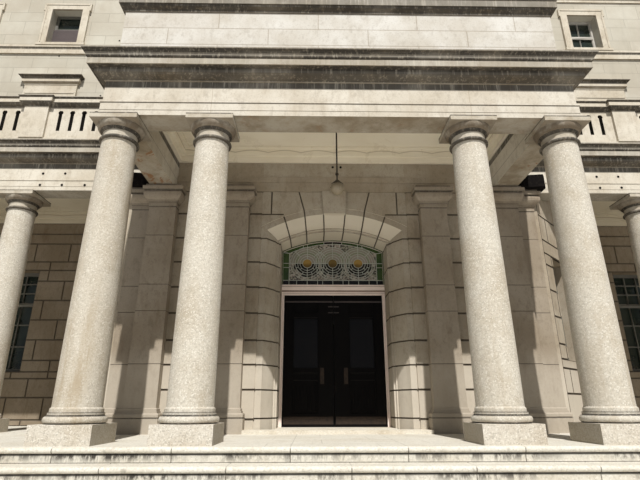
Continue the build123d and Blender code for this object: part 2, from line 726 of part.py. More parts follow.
fences = fence(40, cornice_top, balustrade_base) + fence(0, balustrade_base, rail_top)
both_sides = rail + [(-depth - r, z) for r, z in reversed(rail)]
fences += moulding(both_sides, [(attic_half, line), (side_line, line), (side_line, main_face)])
die_half = die_width / 2
dies = [(attic_half, attic_half + die_half)]
dies += [(x - die_half, x + die_half) for x in (wing_axis, far_wing_axis)]
dies += [(side_line + die_proud - die_width, side_line + die_proud)]
for x0, x1 in dies:
    fences += die(x0, x1)
w, h = slot_width / 2, slot_head / 2
slot = [(-w, slot_low), (w, slot_low), (w, slot_high - 1.6 * h), (h, slot_high - 1.3 * h),
        (h, slot_high - 0.6 * h), (0.5 * h, slot_high), (-0.5 * h, slot_high), (-h, slot_high - 0.6 * h),
        (-h, slot_high - 1.3 * h), (-w, slot_high - 1.6 * h)]
cutter = extrude(make_face(Polyline(*[(x, 0, z) for x, z in slot], close=True)), depth + 200, dir=(0, 1, 0))
cutter = Pos(0, line - 100, 0) * cutter


def spaced(start, end, margin, pitch):
    """Middles of the slots from one die towards the next, which keeps the same margin at least."""
    way = 1 if end > start else -1
    count = 1 + int((abs(end - start) - 2 * margin) / pitch)
    return [start + way * (margin + pitch * k) for k in range(count)]


slots = [Pos(x, 0, 0) * cutter for x in spaced(dies[1][0], dies[0][1], *inner_slots)]
for (_, a), (b, _) in zip(dies[1:], dies[2:]):
    slots += [Pos(x, 0, 0) * cutter for x in spaced(a, b, *outer_slots)]
side_cutter = Pos(side_line, 0, 0) * Rot(0, 0, 90) * Pos(0, -line, 0) * cutter
slots += [Pos(0, y, 0) * side_cutter for y in spaced(line + die_width, main_face, *outer_slots)]
fences -= slots
reach = attic_half + attic_reach
fences -= block(0, attic_half, 0, main_face, cornice_top, rail_top)
fences -= block(0, reach, 0, attic_back, attic_top, rail_top)
add("balustrades", *pair(fences))

# Lamp on a rod, and two dark light housings on the outer capitals
ceiling_under = ceiling - 22
with BuildSketch(Plane.XZ) as profile:
    with BuildLine():
        r = (lamp_radius ** 2 - (lamp_cap - lamp_globe) ** 2) ** 0.5
        Polyline((0, lamp_cap), (r, lamp_cap), (r, lamp_cap + 12), (30, lamp_cap_top), (lamp_rod, lamp_cap_top + 10),
                 (lamp_rod, lamp_cap_top + 100), (26, lamp_cap_top + 115), (26, lamp_cap_top + 140),
                 (lamp_rod, lamp_cap_top + 155), (lamp_rod, ceiling_under - 40), (60, ceiling_under - 20),
                 (60, ceiling_under), (0, ceiling_under), close=True)
    make_face()
add("lamp_rod", Pos(0, lamp_y, 0) * revolve(profile.sketch, Axis.Z))
globe = Pos(0, lamp_y, lamp_globe) * Sphere(lamp_radius)
add("lamp_globe", globe - block(-200, 200, lamp_y - 200, lamp_y + 200, lamp_cap, lamp_cap + 200))
width, depth, height = housing
x0, y0 = frieze_half + housing_gap, housing_line
x1, y1 = x0 + width, y0 + depth
plan = [(x0, y1), (x0 + 90, y0 + 60), (x1 - 60, y0), (x1, y0 + 90), (x1, y1)]
box = extrude(make_face(Polyline(*[(x, y, soffit) for x, y in plan], close=True)), height, dir=(0, 0, 1))
add("light_housings", *pair(box))

os.makedirs("parts", exist_ok=True)
for name, solids in parts.items():
    export_step(solids[0] if len(solids) == 1 else Compound(children=solids), f"parts/{name}.step")
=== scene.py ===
import math
import bmesh
import bpy
from mathutils import Matrix, Vector


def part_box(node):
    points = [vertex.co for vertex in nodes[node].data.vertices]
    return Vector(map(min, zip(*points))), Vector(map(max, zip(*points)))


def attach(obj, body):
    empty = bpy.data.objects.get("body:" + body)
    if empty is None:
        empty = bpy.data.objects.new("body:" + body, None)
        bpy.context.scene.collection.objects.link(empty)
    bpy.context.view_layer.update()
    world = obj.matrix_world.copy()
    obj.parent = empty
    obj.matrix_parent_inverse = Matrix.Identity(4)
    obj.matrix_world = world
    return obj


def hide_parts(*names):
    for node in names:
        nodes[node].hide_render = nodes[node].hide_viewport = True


# Bank building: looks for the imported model. Everything is in metres.
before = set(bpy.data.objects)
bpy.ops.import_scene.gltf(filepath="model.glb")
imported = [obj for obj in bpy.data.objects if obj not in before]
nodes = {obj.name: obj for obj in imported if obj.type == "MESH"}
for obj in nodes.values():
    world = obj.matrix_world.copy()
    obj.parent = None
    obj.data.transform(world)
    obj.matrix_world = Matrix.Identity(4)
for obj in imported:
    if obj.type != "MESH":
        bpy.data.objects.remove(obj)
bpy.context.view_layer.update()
print("frame loaded,", len(nodes), "nodes")

# The front has its own place: x 0 the middle of the door, y 0 the front of the column plinths, z 0 the platform
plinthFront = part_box("column_plinths")[0].y
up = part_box("platform")[1].z               # the platform's height; all heights below count from it


def spot(x, y, z):
    return Vector((x, plinthFront + y, up + z))


# --- camera and light ---
view = {
    "place": (-0.427, -5.960, 0.433),
    "upAngle": 19.337,
    "rightAngle": 0.934,
    "lean": -0.084,
    "lens": 26.645,
}
bpy.ops.object.camera_add()
camera = bpy.context.object
camera.data.lens = view["lens"]
camera.matrix_world = (
    Matrix.Translation(spot(*view["place"]))
    @ Matrix.Rotation(math.radians(-view["rightAngle"]), 4, "Z")
    @ Matrix.Rotation(math.radians(90 + view["upAngle"]), 4, "X")
    @ Matrix.Rotation(math.radians(view["lean"]), 4, "Z")
)
bpy.context.scene.camera = camera

light = {
    "keyStrength": 5.0,
    "keyColour": (1.0, 0.97, 0.92),
    "keySize": 0.7,               # degrees, as on a clear day
    "keyTravel": (-0.07, 1.0, -1.24),
    "fillColour": (0.86, 0.91, 1.0),
    "fillStrength": 0.20,
}
bpy.ops.object.light_add(type="SUN")
key = bpy.context.object
key.data.energy = light["keyStrength"]
key.data.color = light["keyColour"]
key.data.angle = math.radians(light["keySize"])
key.rotation_euler = Vector(light["keyTravel"]).to_track_quat("-Z", "Y").to_euler()
bpy.context.scene.view_settings.view_transform = "Standard"
world = bpy.data.worlds.new("studioFill")
bpy.context.scene.world = world
world.use_nodes = True
world.node_tree.nodes["Background"].inputs["Color"].default_value = (*light["fillColour"], 1)
world.node_tree.nodes["Background"].inputs["Strength"].default_value = light["fillStrength"]


# --- shader helpers ---
class Amount:
    # a number that changes over the surface; a sum written on it adds Math nodes
    def __init__(self, finish, socket):
        self.finish = finish
        self.socket = socket

    def math(self, kind, *others):
        return self.finish.sum(kind, self, *others)

    def __add__(self, other):
        return self.math("ADD", other)

    __radd__ = __add__

    def __sub__(self, other):
        return self.math("SUBTRACT", other)

    def __rsub__(self, other):
        return self.finish.sum("SUBTRACT", other, self)

    def __mul__(self, other):
        return self.math("MULTIPLY", other)

    def __truediv__(self, other):
        return self.math("DIVIDE", other)

    def __pow__(self, other):
        return self.math("POWER", other)

    def __abs__(self):
        return self.math("ABSOLUTE")

    def __gt__(self, other):
        return self.math("GREATER_THAN", other)

    def __lt__(self, other):
        return self.math("LESS_THAN", other)


class Finish:
    # one material: its shader, its colour so far, and short ways to its usual nodes
    def __init__(self, name, roughness=0.85, metallic=0.0, specular=0.35):
        self.material = bpy.data.materials.new(name)
        self.material.use_nodes = True
        self.tree = self.material.node_tree
        self.shader = self.tree.nodes["Principled BSDF"]
        for socket, value in (("Roughness", roughness), ("Metallic", metallic), ("Specular IOR Level", specular)):
            self.shader.inputs[socket].default_value = value
        self.place = self.node("ShaderNodeTexCoord").outputs["Object"]
        self.colour = None

    def plug(self, socket, value):
        # a link where the value changes over the surface, else the plain value
        if isinstance(value, Amount):
            value = value.socket
        if isinstance(value, bpy.types.NodeSocket):
            self.tree.links.new(value, socket)
        elif socket.type == "RGBA":
            socket.default_value = (*value, 1.0)
        else:
            socket.default_value = value

    def node(self, kind, settings=None, sockets=None):
        made = self.tree.nodes.new(kind)
        for name, value in (settings or {}).items():
            setattr(made, name, value)
        for name, value in (sockets or {}).items():
            self.plug(made.inputs[name], value)
        return made

    def sum(self, kind, *values):
        return Amount(self, self.node("ShaderNodeMath", {"operation": kind}, dict(enumerate(values))).outputs[0])

    def split(self, vector=None):
        parts = self.node("ShaderNodeSeparateXYZ", None, {0: vector or self.place})
        return [Amount(self, parts.outputs[k]) for k in range(3)]

    def joined(self, x, y, z):
        return self.node("ShaderNodeCombineXYZ", None, {0: x, 1: y, 2: z}).outputs[0]

    def noise(self, scale, detail=3.0, rough=0.6, stretch=None, vector=None, bend=0.0):
        place = vector or self.place
        if stretch:
            place = self.node("ShaderNodeMapping", None, {"Vector": place, "Scale": stretch}).outputs[0]
        sockets = {"Vector": place, "Scale": scale, "Detail": detail, "Roughness": rough, "Distortion": bend}
        return Amount(self, self.node("ShaderNodeTexNoise", None, sockets).outputs["Fac"])

    def grains(self, scale):
        sockets = {"Vector": self.place, "Scale": scale}
        return self.split(self.node("ShaderNodeTexVoronoi", None, sockets).outputs["Color"])[0]

    def fit(self, amount, low, high):
        # 0 below low, 1 above high, smooth between; low above high turns it round
        sockets = {"Value": amount, "From Min": low, "From Max": high}
        return Amount(self, self.node("ShaderNodeMapRange", {"interpolation_type": "SMOOTHSTEP"}, sockets).outputs[0])

    def mix(self, mask, first, second):
        # inputs 6 and 7 are the node's two colours
        return self.node("ShaderNodeMix", {"data_type": "RGBA"}, {0: mask, 6: first, 7: second}).outputs[2]

    def ground(self, amount, low, high, first, second):
        # the colour to start from: the first one where the amount is low, the second where it is high
        self.colour = self.mix(self.fit(amount, low, high), first, second)

    def lay(self, mask, top):
        # another colour over what is there, as strong as the mask says
        self.colour = self.mix(mask, self.colour, top)

    def stain(self, amount, low, high, strength, top):
        # another colour that grows as the amount goes from low to high
        self.lay(self.fit(amount, low, high) * strength, top)

    def facing(self):
        # how much the surface faces left-right, front-back, up
        x, y, z = self.split(self.node("ShaderNodeNewGeometry").outputs["Normal"])
        return abs(x), abs(y), z

    def wallPlace(self, sideways=0.0):
        # a flat place for walls of any side: along the wall, then up
        x, y, z = self.split()
        back = self.facing()[1] > 0.5
        return self.joined(x * back + y * (1 - back) + sideways, z, 0.0)

    def courses(self, vector, length, height, joint, smooth=0.3):
        # joint mask and a random number for each stone
        sockets = {
            "Vector": vector, "Color1": (0, 0, 0), "Color2": (1, 1, 1), "Mortar": (0.5, 0.5, 0.5), "Scale": 1.0,
            "Mortar Size": joint, "Mortar Smooth": smooth, "Bias": 0.0, "Brick Width": length, "Row Height": height,
        }
        made = self.node("ShaderNodeTexBrick", None, sockets)
        return Amount(self, made.outputs["Fac"]), self.split(made.outputs["Color"])[0]

    def paint(self, height=None, depth=0.002, roughness=None):
        self.plug(self.shader.inputs["Base Color"], self.colour)
        if roughness is not None:
            self.plug(self.shader.inputs["Roughness"], roughness)
        if height is not None:
            bump = self.node("ShaderNodeBump", None, {"Height": height, "Distance": depth, "Strength": 1.0})
            self.plug(self.shader.inputs["Normal"], bump.outputs[0])
        return self.material


def dress(finish, *names):
    for name in names:
        slots = nodes[name].data.materials
        slots.clear()
        slots.append(finish)
    return finish


# --- stone finishes ---
stone = {
    "granitePale": (0.60, 0.565, 0.495),
    "graniteWarm": (0.49, 0.435, 0.35),
    "graniteDark": (0.25, 0.225, 0.185),
    "graniteGlint": (0.76, 0.74, 0.68),
    "limePale": (0.63, 0.60, 0.53),
    "limeDeep": (0.50, 0.455, 0.375),
    "limeStain": (0.27, 0.20, 0.12),
    # black for dirt, and for painted shade in slots and under overhangs
    "blackDirtAndShade": (0.024, 0.020, 0.016),
    "joint": (0.045, 0.035, 0.025),
    "rust": (0.23, 0.095, 0.025),
}


def tinted(colour, tint):
    return tuple(c * t for c, t in zip(colour, tint))


def speckled(finish, pale, warm, dark, grain=75.0, strength=0.4):
    # tooled granite: grains of three tones over soft clouds
    fine = finish.grains(grain)
    finish.ground(finish.noise(1.6, 5.0, 0.65), 0.40, 0.72, pale, warm)
    finish.stain(fine, 0.66, 0.95, strength, dark)
    finish.stain(finish.noise(26.0, 3.0, 0.7), 0.52, 0.70, strength, warm)
    finish.stain(fine, 0.25, 0.05, 0.5, stone["graniteGlint"])
    return fine


def dirtAndShadeBands(finish, bands, soft=0.006):
    # dark bands (low, high, strength) that break up into fine upright streaks; some are dirt, others are painted shade
    # and painted shadow under overhangs and in creases
    if not bands:
        return
    z = finish.split()[2]
    streaks = finish.fit(finish.noise(24.0, 4.0, 0.7, (1, 1, 0.05)), 0.34, 0.50)
    patches = finish.fit(finish.noise(1.3, 3.0, 0.6), 0.30, 0.55)
    broken = (streaks * 0.42 + 0.58) * (patches * 0.25 + 0.75)
    for low, high, strength in bands:
        band = finish.fit(z, up + low - soft, up + low + soft) * finish.fit(z, up + high + soft, up + high - soft)
        finish.lay(band * broken * strength, stone["blackDirtAndShade"])


def graniteFinish(name, tint, rise, strength, bands=(), outerStain=0.0, sideShade=0.0):
    # rise: streaks climb this far above the foot; outerStain: the outer columns are browner;
    # sideShade: painted shade, brown, on the faces that look sideways
    finish = Finish(name, 0.82)
    pale, warm = (tinted(stone[tone], tint) for tone in ("granitePale", "graniteWarm"))
    fine = speckled(finish, pale, warm, stone["graniteDark"], strength=strength)
    x, _, z = finish.split()
    foot = finish.fit(z, up + rise, up + 0.25)
    outer = finish.fit(abs(x), 2.6, 3.0) * finish.fit(abs(x), 4.6, 4.2)
    outer = outer * (finish.fit(x, 1.0, -1.0) * 0.7 + 0.3) * outerStain
    streaks = finish.fit(finish.noise(5.0, 4.0, 0.65, (1, 1, 0.12)), 0.46, 0.75)
    finish.lay(streaks * (0.16 + foot * 0.26 + outer * 0.7) + outer * 0.35, (0.36, 0.295, 0.205))
    dirtAndShadeBands(finish, bands)
    # painted shade: brown on the faces that look sideways
    finish.stain(finish.facing()[0], 0.9, 0.97, sideShade, (0.27, 0.23, 0.165))
    return finish.paint(fine * 0.6 + finish.noise(90.0, 2.0, 0.6), 0.003)


def capitalFinish():
    # smooth moulded granite; the echinus darkened with dirt and painted shade, brown painted shade on the faces that
    # look down, and black in the hollows and rings, dirt and painted shade
    finish = Finish("capitalGranite", 0.84)
    clouds = finish.noise(4.0, 5.0, 0.65)
    fine = finish.grains(80.0)
    z = finish.split()[2]
    finish.ground(clouds, 0.36, 0.68, (0.50, 0.46, 0.385), (0.36, 0.31, 0.235))
    # the echinus darkened: dirt and painted shade
    echinusDirtAndShade = finish.fit(z, up + 4.325, up + 4.345) * finish.fit(z, up + 4.440, up + 4.430)
    finish.lay(echinusDirtAndShade * (finish.fit(clouds, 0.35, 0.6) * 0.45 + 0.35), (0.115, 0.085, 0.055))
    # painted shade: brown on the faces that look down
    finish.stain(finish.facing()[2], -0.25, -0.85, 0.55, (0.15, 0.11, 0.07))
    # black in the astragal, the annulets and at the abacus top: dirt and painted shade
    dirtAndShadeBands(finish, [(4.150, 4.204, 0.88), (4.298, 4.338, 0.90), (4.500, 4.517, 0.85)], 0.003)
    finish.stain(fine, 0.7, 1.0, 0.25, stone["graniteDark"])
    return finish.paint(fine * 0.5, 0.002)


# painted shade: dark lines in the creases of the column base
baseCreaseShade = [(0.226, 0.248, 0.95), (0.318, 0.340, 0.9), (0.356, 0.368, 0.7)]
dress(graniteFinish("columnGranite", (0.93, 0.925, 0.91), 1.9, 0.36, baseCreaseShade, 0.5), "column_shafts")
dress(capitalFinish(), "column_capitals")
dress(graniteFinish("plinthGranite", (0.95, 0.94, 0.93), 0.1, 0.45, sideShade=0.5), "column_plinths")
dress(graniteFinish("sillGranite", (1.12, 1.12, 1.1), 0.0, 0.2), "door_sill")


def limeFinish(name, tint, joints=None, bands=(), under=0.0, rust=0.0, lines=(), uprights=(), glow=0.0, runs=0.3,
               slots=None, foot=0.0):
    # smooth weathered stone; joints (length, height, start, side shift), bands of dirt and of painted shade (low,
    # high, strength),
    # under: painted shade, brown, on the undersides, rust: orange patches on them, lines and uprights: places of fine
    # joints,
    # glow: painted light, paler faces that look down in the doorway's hollow, runs: soft streaks down the faces,
    # slots: painted shade, black inside between two depths and two heights, foot: painted light, paler stone near the
    # floor
    finish = Finish(name, 0.86)
    fine = finish.noise(38.0, 4.0, 0.7)
    deep = tinted(stone["limeDeep"], tint)
    finish.ground(finish.noise(0.9, 5.0, 0.62), 0.36, 0.68, tinted(stone["limePale"], tint), deep)
    finish.stain(fine, 0.50, 0.75, 0.4, tinted(deep, (0.55, 0.53, 0.50)))
    finish.stain(finish.noise(4.5, 5.0, 0.7, (1, 1, 0.25)), 0.50, 0.74, runs, tinted(stone["limeStain"], tint))
    finish.stain(finish.noise(9.0, 5.0, 0.75, (1, 1, 0.6)), 0.50, 0.66, 0.34, tinted(deep, (0.60, 0.57, 0.54)))
    height = fine * 0.5
    x, y, z = finish.split()
    _, front, top = finish.facing()
    if joints:
        length, tall, start, side = joints
        along, rise, _ = finish.split(finish.wallPlace(side))
        mask, tone = finish.courses(finish.joined(along, rise - (up + start), 0.0), length, tall, 0.007)
        finish.stain(tone, 0.2, 0.9, 0.2, tinted(deep, (0.78, 0.72, 0.66)))
        finish.lay(mask * 0.42, stone["limeStain"])
        height = height - mask * 1.5
    down = finish.fit(top, -0.3, -0.8)
    # painted shade: the faces that look down turn brown, in blotches
    if under:
        blotch = finish.fit(finish.noise(2.0, 5.0, 0.65), 0.4, 0.65)
        finish.lay(down * (under * 0.6 + blotch * under * 0.4), (0.16, 0.115, 0.06))
    if rust:
        patch = finish.fit(finish.noise(2.1, 5.0, 0.62, bend=1.4), 0.56, 0.64)
        finish.lay(down * patch * (finish.fit(abs(x), 3.0, 3.1) * 0.7 + 0.3) * rust, stone["rust"])
    # painted light: paler stone towards the floor
    if foot:
        finish.stain(z, up + 1.5, up + 0.9, foot, (0.62, 0.57, 0.49))
    # painted light: the faces that look down are paler, as if lit from the floor
    if glow:
        finish.stain(top, -0.12, -0.45, glow, (0.66, 0.60, 0.49))
    for level in lines:
        line = finish.fit(abs(z - (up + level)), 0.008, 0.003)
        finish.lay(line * 0.7, stone["joint"])
        height = height - line * 2.0
    for place in uprights:
        finish.stain(abs(x - place), 0.008, 0.002, 0.45, stone["limeStain"])
    dirtAndShadeBands(finish, bands)
    # painted shade: black inside the slots
    if slots:
        near, far, low, high = slots
        within = (y > plinthFront + near) * (y < plinthFront + far) * (z > up + low) * (z < up + high)
        finish.lay(within * finish.fit(front, 0.6, 0.3) * 0.95, stone["blackDirtAndShade"])
    return finish.paint(height, 0.003)


# brown painted shade on the undersides, rust patches on them; bands: painted shadow under the taenia, and the
# cornice's painted shadow on the frieze's top
dress(limeFinish("porchBeamStone", (0.97, 0.96, 0.95), under=0.8, rust=0.75, uprights=(-1.955, 1.955),
                 bands=[(4.722, 4.732, 0.6), (5.01, 5.116, 0.86)]), "porch_architrave", "porch_frieze")
# a darker tint than the sunlit beams: painted shade; brown painted shade on the undersides, painted light near the
# floor
wallStone = dress(limeFinish("shadedWallStone", (0.60, 0.55, 0.49), under=0.5, runs=0.4, foot=0.5),
                  "porch_walls", "canted_walls")
# a darker tint than the sunlit beams: painted shade; brown painted shade on the undersides
dress(limeFinish("stringStone", (0.58, 0.53, 0.47), under=0.5, uprights=(-2.88, -0.96, 0.96, 2.88)), "porch_string")
# a darker tint than the sunlit beams: painted shade; painted light on the faces that look down and near the floor
doorwayStone = dress(limeFinish("doorwayStone", (0.67, 0.63, 0.58), glow=0.85, runs=0.25, foot=0.5),
                     "door_arch", "door_jambs", "keystone")
# a much darker tint than the sunlit beams: painted shade; brown painted shade on the undersides
loggiaStone = dress(limeFinish("loggiaStone", (0.42, 0.365, 0.305), under=0.5, runs=0.5), "loggia_walls", "end_walls")
# a darker tint than the sunlit beams: painted shade; painted light near the floor; bands: painted shade in the creases
# of base and capital
dress(limeFinish("pilasterStone", (0.50, 0.45, 0.40), lines=(3.49, 2.538, 2.052, 1.127), runs=0.35, foot=0.3, bands=[
    (0.238, 0.252, 0.8), (4.064, 4.084, 0.7), (4.160, 4.170, 0.5), (4.362, 4.396, 0.8), (4.470, 4.520, 0.5),
]), "pilasters")
# brown painted shade on the undersides; bands: a dark line at the architrave's foot, and the cornice's painted shadow
# on the frieze's top
dress(limeFinish("beamStone", (1.0, 0.99, 0.97), bands=[(4.50, 4.53, 0.4), (5.01, 5.116, 0.86)], under=0.42),
      "wing_architraves", "wing_friezes")
# brown painted shade on the undersides; bands from the foot: painted shadow on the frieze's top, painted shade on the
# bed moulds and under the corona, dirt streaks on the corona, dark cyma bands of dirt and painted shade
dress(limeFinish("corniceStone", (0.95, 0.93, 0.90), under=0.85, bands=[
    (5.00, 5.118, 0.12), (5.118, 5.235, 0.82), (5.232, 5.270, 0.95), (5.276, 5.372, 0.34), (5.372, 5.415, 0.95),
    (5.418, 5.444, 0.80), (5.446, 5.500, 0.94), (5.500, 5.522, 0.60),
]), "cornice")
dress(limeFinish("atticStone", (1.02, 1.05, 1.12), joints=(1.62, 0.322, 5.905, 0.35), runs=0.16), "attic_wall")
# brown painted shade on the undersides; bands: painted shade on the attic's top and the cornice's bed, then dark
# streaky bands of dirt and painted shade
dress(limeFinish("atticTopStone", (0.95, 0.93, 0.90), under=0.9, bands=[
    (6.548, 6.66, 0.90), (6.66, 6.775, 0.62), (6.778, 6.97, 0.88)]), "attic_cornice")
# brown painted shade on the undersides, painted shade black inside the slots; bands: a dark band at the foot, painted
# shadow under the rail, and the rail's cyma, dirt and painted shade
dress(limeFinish("balustradeStone", (0.99, 0.97, 0.94), under=0.85, slots=(2.838, 3.082, 5.93, 6.46), bands=[
    (5.53, 5.60, 0.35), (6.512, 6.600, 0.88), (6.683, 6.724, 0.85)]), "balustrades")
jointStone = limeFinish("jointShadow", (0.19, 0.165, 0.14), runs=0.0)
# brown painted shade on the undersides; bands: painted shade under the hoods' tops and under the upper band's top
trimStone = dress(limeFinish("windowTrimStone", (0.98, 0.95, 0.90), under=0.85, bands=[
    (9.800, 9.896, 0.88), (10.955, 11.022, 0.75)]), "wall_bands", "eaves", "window_trim", "window_hoods")


def ashlarFinish(name, length, pairHeight, lowShare, start):
    # courses in pairs: a low one, then a tall one
    finish = Finish(name, 0.88)
    fine = finish.noise(45.0, 3.0, 0.7)
    along, rise, _ = finish.split(finish.wallPlace(0.2))
    rise = (rise - (up + start)) / pairHeight
    whole = rise.math("FLOOR")
    part = rise - whole
    low = part * (0.5 / lowShare)
    tall = 0.5 + (part - lowShare) * (0.5 / (1 - lowShare))
    row = whole + low.math("MINIMUM", tall)
    mask, tone = finish.courses(finish.joined(along, row, 0.0), length, 0.5, 0.007, 0.4)
    finish.ground(finish.noise(0.7, 5.0, 0.6), 0.35, 0.7, (0.555, 0.53, 0.455), (0.455, 0.415, 0.34))
    finish.stain(tone, 0.1, 0.9, 0.5, (0.41, 0.38, 0.31))
    finish.stain(fine, 0.5, 0.75, 0.3, (0.30, 0.27, 0.22))
    finish.stain(finish.noise(3.0, 4.0, 0.65, (1, 1, 0.1)), 0.55, 0.8, 0.3, (0.30, 0.27, 0.22))
    finish.lay(mask * 0.55, (0.26, 0.24, 0.20))
    return finish.paint(fine * 0.4 - mask, 0.003)


dress(ashlarFinish("upperAshlar", 1.05, 0.90, 0.40, 11.193), "front_wall", "rear_wall", "side_walls", "parapet")

steps = {"riser": 0.172, "nosing": 0.070, "stone": 1.34}


def stepFinish():
    finish = Finish("stepGranite", 0.8)
    fine = speckled(finish, (0.66, 0.635, 0.565), (0.60, 0.56, 0.475), (0.34, 0.31, 0.26), 60.0, 0.3)
    x, y, z = finish.split()
    face = finish.fit(finish.facing()[2], 0.75, 0.35)
    riser, nosing, length = steps["riser"], steps["nosing"], steps["stone"]
    fall = (up - z + 0.004) / riser
    row = fall.math("FLOOR")
    low = (fall - row) * riser       # how far under the tread
    # painted shadow, black, under the nosing, partly dirt; then dirt streaks that thin out towards the tread below
    start = finish.fit(low, nosing - 0.004, nosing + 0.004)
    line = start * finish.fit(low, nosing + 0.034, nosing + 0.014)
    wash = start * finish.fit(low, riser + 0.02, nosing + 0.02)
    streaks = finish.noise(13.0, 5.0, 0.75, (1.0, 1.0, 0.30))
    patches = finish.noise(0.9, 3.0, 0.6, vector=finish.joined(x, row * 3.7, 0.0))
    ragged = finish.fit(streaks, 0.42, 0.58) * finish.fit(patches, 0.38, 0.58)
    left = finish.fit(x, -1.0, -3.0) * finish.fit(streaks, 0.36, 0.60)
    finish.lay(face * wash * (ragged * 0.80 + left * 0.35 + 0.10), (0.060, 0.054, 0.046))
    finish.lay(face * finish.fit(low, riser - 0.012, riser - 0.006) * 0.75, (0.05, 0.044, 0.036))
    # painted shadow under the nosing
    finish.lay(face * line * 0.92, (0.018, 0.016, 0.014))
    drips = finish.fit(finish.noise(8.0, 4.0, 0.7, (1.0, 1.0, 0.5)), 0.54, 0.70)
    finish.lay(face * drips * finish.fit(patches, 0.42, 0.60) * 0.45, (0.13, 0.115, 0.09))
    worn = finish.fit(finish.noise(2.2, 4.0, 0.6, (0.5, 2.0, 1.0)), 0.50, 0.74)
    finish.lay((1 - face) * worn * 0.35, (0.46, 0.41, 0.32))
    ends = (x / length + (row + 1) * 0.5).math("PINGPONG", 0.5) * length
    finish.lay(finish.fit(ends, 0.009, 0.003) * (face * 0.55 + 0.25), (0.07, 0.06, 0.045))
    paving = finish.courses(finish.joined(x + 0.3, y + 0.12, 0.0), length, 0.72, 0.006)[0]
    flat = finish.fit(z, up - 0.003, up - 0.001)
    finish.lay(paving * flat * (1 - face) * 0.35, (0.20, 0.17, 0.13))
    return finish.paint(fine, 0.003)


dress(stepFinish(), "front_steps", "platform", "podium")


def plasterFinish(name, tint, pitch, line, depth):
    # clouded plaster with rings of damp, and a scalloped tide mark along the wall
    finish = Finish(name, 0.9, specular=0.2)
    damp = finish.noise(1.3, 5.0, 0.62, bend=0.6)
    pale, deep = tinted((0.88, 0.82, 0.69), tint), tinted((0.82, 0.75, 0.61), tint)
    finish.ground(finish.noise(0.8, 4.0, 0.6), 0.35, 0.7, pale, deep)
    ring = finish.fit(abs(damp - 0.60), 0.02, 0.0)
    finish.lay(ring * 0.22 + finish.fit(damp, 0.60, 0.66) * 0.14, tinted((0.50, 0.42, 0.28), tint))
    x, _, z = finish.split()
    wave = abs((x * (math.pi / pitch)).math("SINE")) * depth
    finish.stain(abs(z - (up + line + wave)), 0.016, 0.004, 0.6, tinted((0.40, 0.33, 0.23), tint))
    return finish.paint(finish.noise(60.0, 2.0, 0.5), 0.001)


dress(plasterFinish("creamPlaster", (1, 1, 1), 0.67, 5.315, 0.05), "porch_ceiling")
# the loggia ceilings take a darker copy of the cream plaster: painted shade
dress(plasterFinish("loggiaPlaster", (0.68, 0.66, 0.62), 0.9, 5.32, 0.03), "loggia_ceilings")


def roofFinish():
    finish = Finish("greyScreed", 0.9)
    fine = finish.grains(80.0)
    finish.ground(finish.noise(0.6, 5.0, 0.65), 0.3, 0.7, (0.40, 0.385, 0.36), (0.27, 0.26, 0.24))
    finish.stain(fine, 0.7, 1.0, 0.3, (0.16, 0.15, 0.14))
    return finish.paint(fine, 0.003)


dress(roofFinish(), "terrace", "roof", "floors")


# --- paint, wood, metal and glass ---
def woodPaint(name, colour, worn, roughness=0.42, shine=0.4):
    finish = Finish(name, roughness, specular=shine)
    brush = finish.noise(30.0, 3.0, 0.6, (1, 1, 0.08))
    finish.colour = finish.mix(finish.fit(finish.noise(2.5, 4.0, 0.65), 0.4, 0.75) * 0.6, colour, worn)
    return finish.paint(brush, 0.0012, roughness + brush * 0.2)


pinkPaint = dress(woodPaint("palePinkPaint", (0.87, 0.75, 0.69), (0.70, 0.59, 0.52)), "door_frame")
groovePaint = woodPaint("brownGroovePaint", (0.30, 0.22, 0.175), (0.20, 0.145, 0.11))
rimPaint = woodPaint("darkGreenRim", (0.050, 0.090, 0.028), (0.035, 0.055, 0.022))
blackPaint = dress(woodPaint("blackDoorPaint", (0.0016, 0.0013, 0.0016), (0.003, 0.0024, 0.0022), 0.5, 0.10),
                   "door_leaf_left", "door_leaf_right")
# paler paint for the top edges: wear and a painted highlight
wornAndLitPaint = woodPaint("wornLitDoorPaint", (0.013, 0.011, 0.011), (0.022, 0.019, 0.018), 0.5, 0.2)
headPaint = woodPaint("greyHeadPaint", (0.060, 0.050, 0.050), (0.085, 0.070, 0.066), 0.5, 0.2)
barPaint = woodPaint("greyBarPaint", (0.13, 0.125, 0.105), (0.085, 0.08, 0.07))
whiteBarPaint = woodPaint("whiteBarPaint", (0.44, 0.42, 0.38), (0.30, 0.28, 0.25))
blindPaint = woodPaint("greyBlindPaint", (0.150, 0.122, 0.122), (0.105, 0.088, 0.088), 0.55)
leadPaint = woodPaint("greyLeads", (0.46, 0.48, 0.42), (0.34, 0.35, 0.30))


def metalFinish(name, colour, worn, roughness, metallic, shine=0.5):
    finish = Finish(name, roughness, metallic, shine)
    rub = finish.noise(24.0, 4.0, 0.65)
    finish.ground(rub, 0.45, 0.7, colour, worn)
    return finish.paint(rub, 0.0006, roughness + rub * 0.25)


dress(metalFinish("tarnishedBrass", (0.030, 0.018, 0.011), (0.016, 0.010, 0.007), 0.5, 0.4),
      "door_plates_left", "door_plates_right")
lampMetal = dress(metalFinish("lampBronze", (0.050, 0.042, 0.034), (0.085, 0.065, 0.045), 0.45, 0.6), "lamp_rod")
blackMetal = dress(metalFinish("blackHousing", (0.006, 0.005, 0.005), (0.014, 0.012, 0.010), 0.8, 0.0, 0.06),
                   "light_housings")
dress(metalFinish("oiledHinge", (0.08, 0.07, 0.06), (0.13, 0.11, 0.09), 0.42, 0.8), "door_hinges")


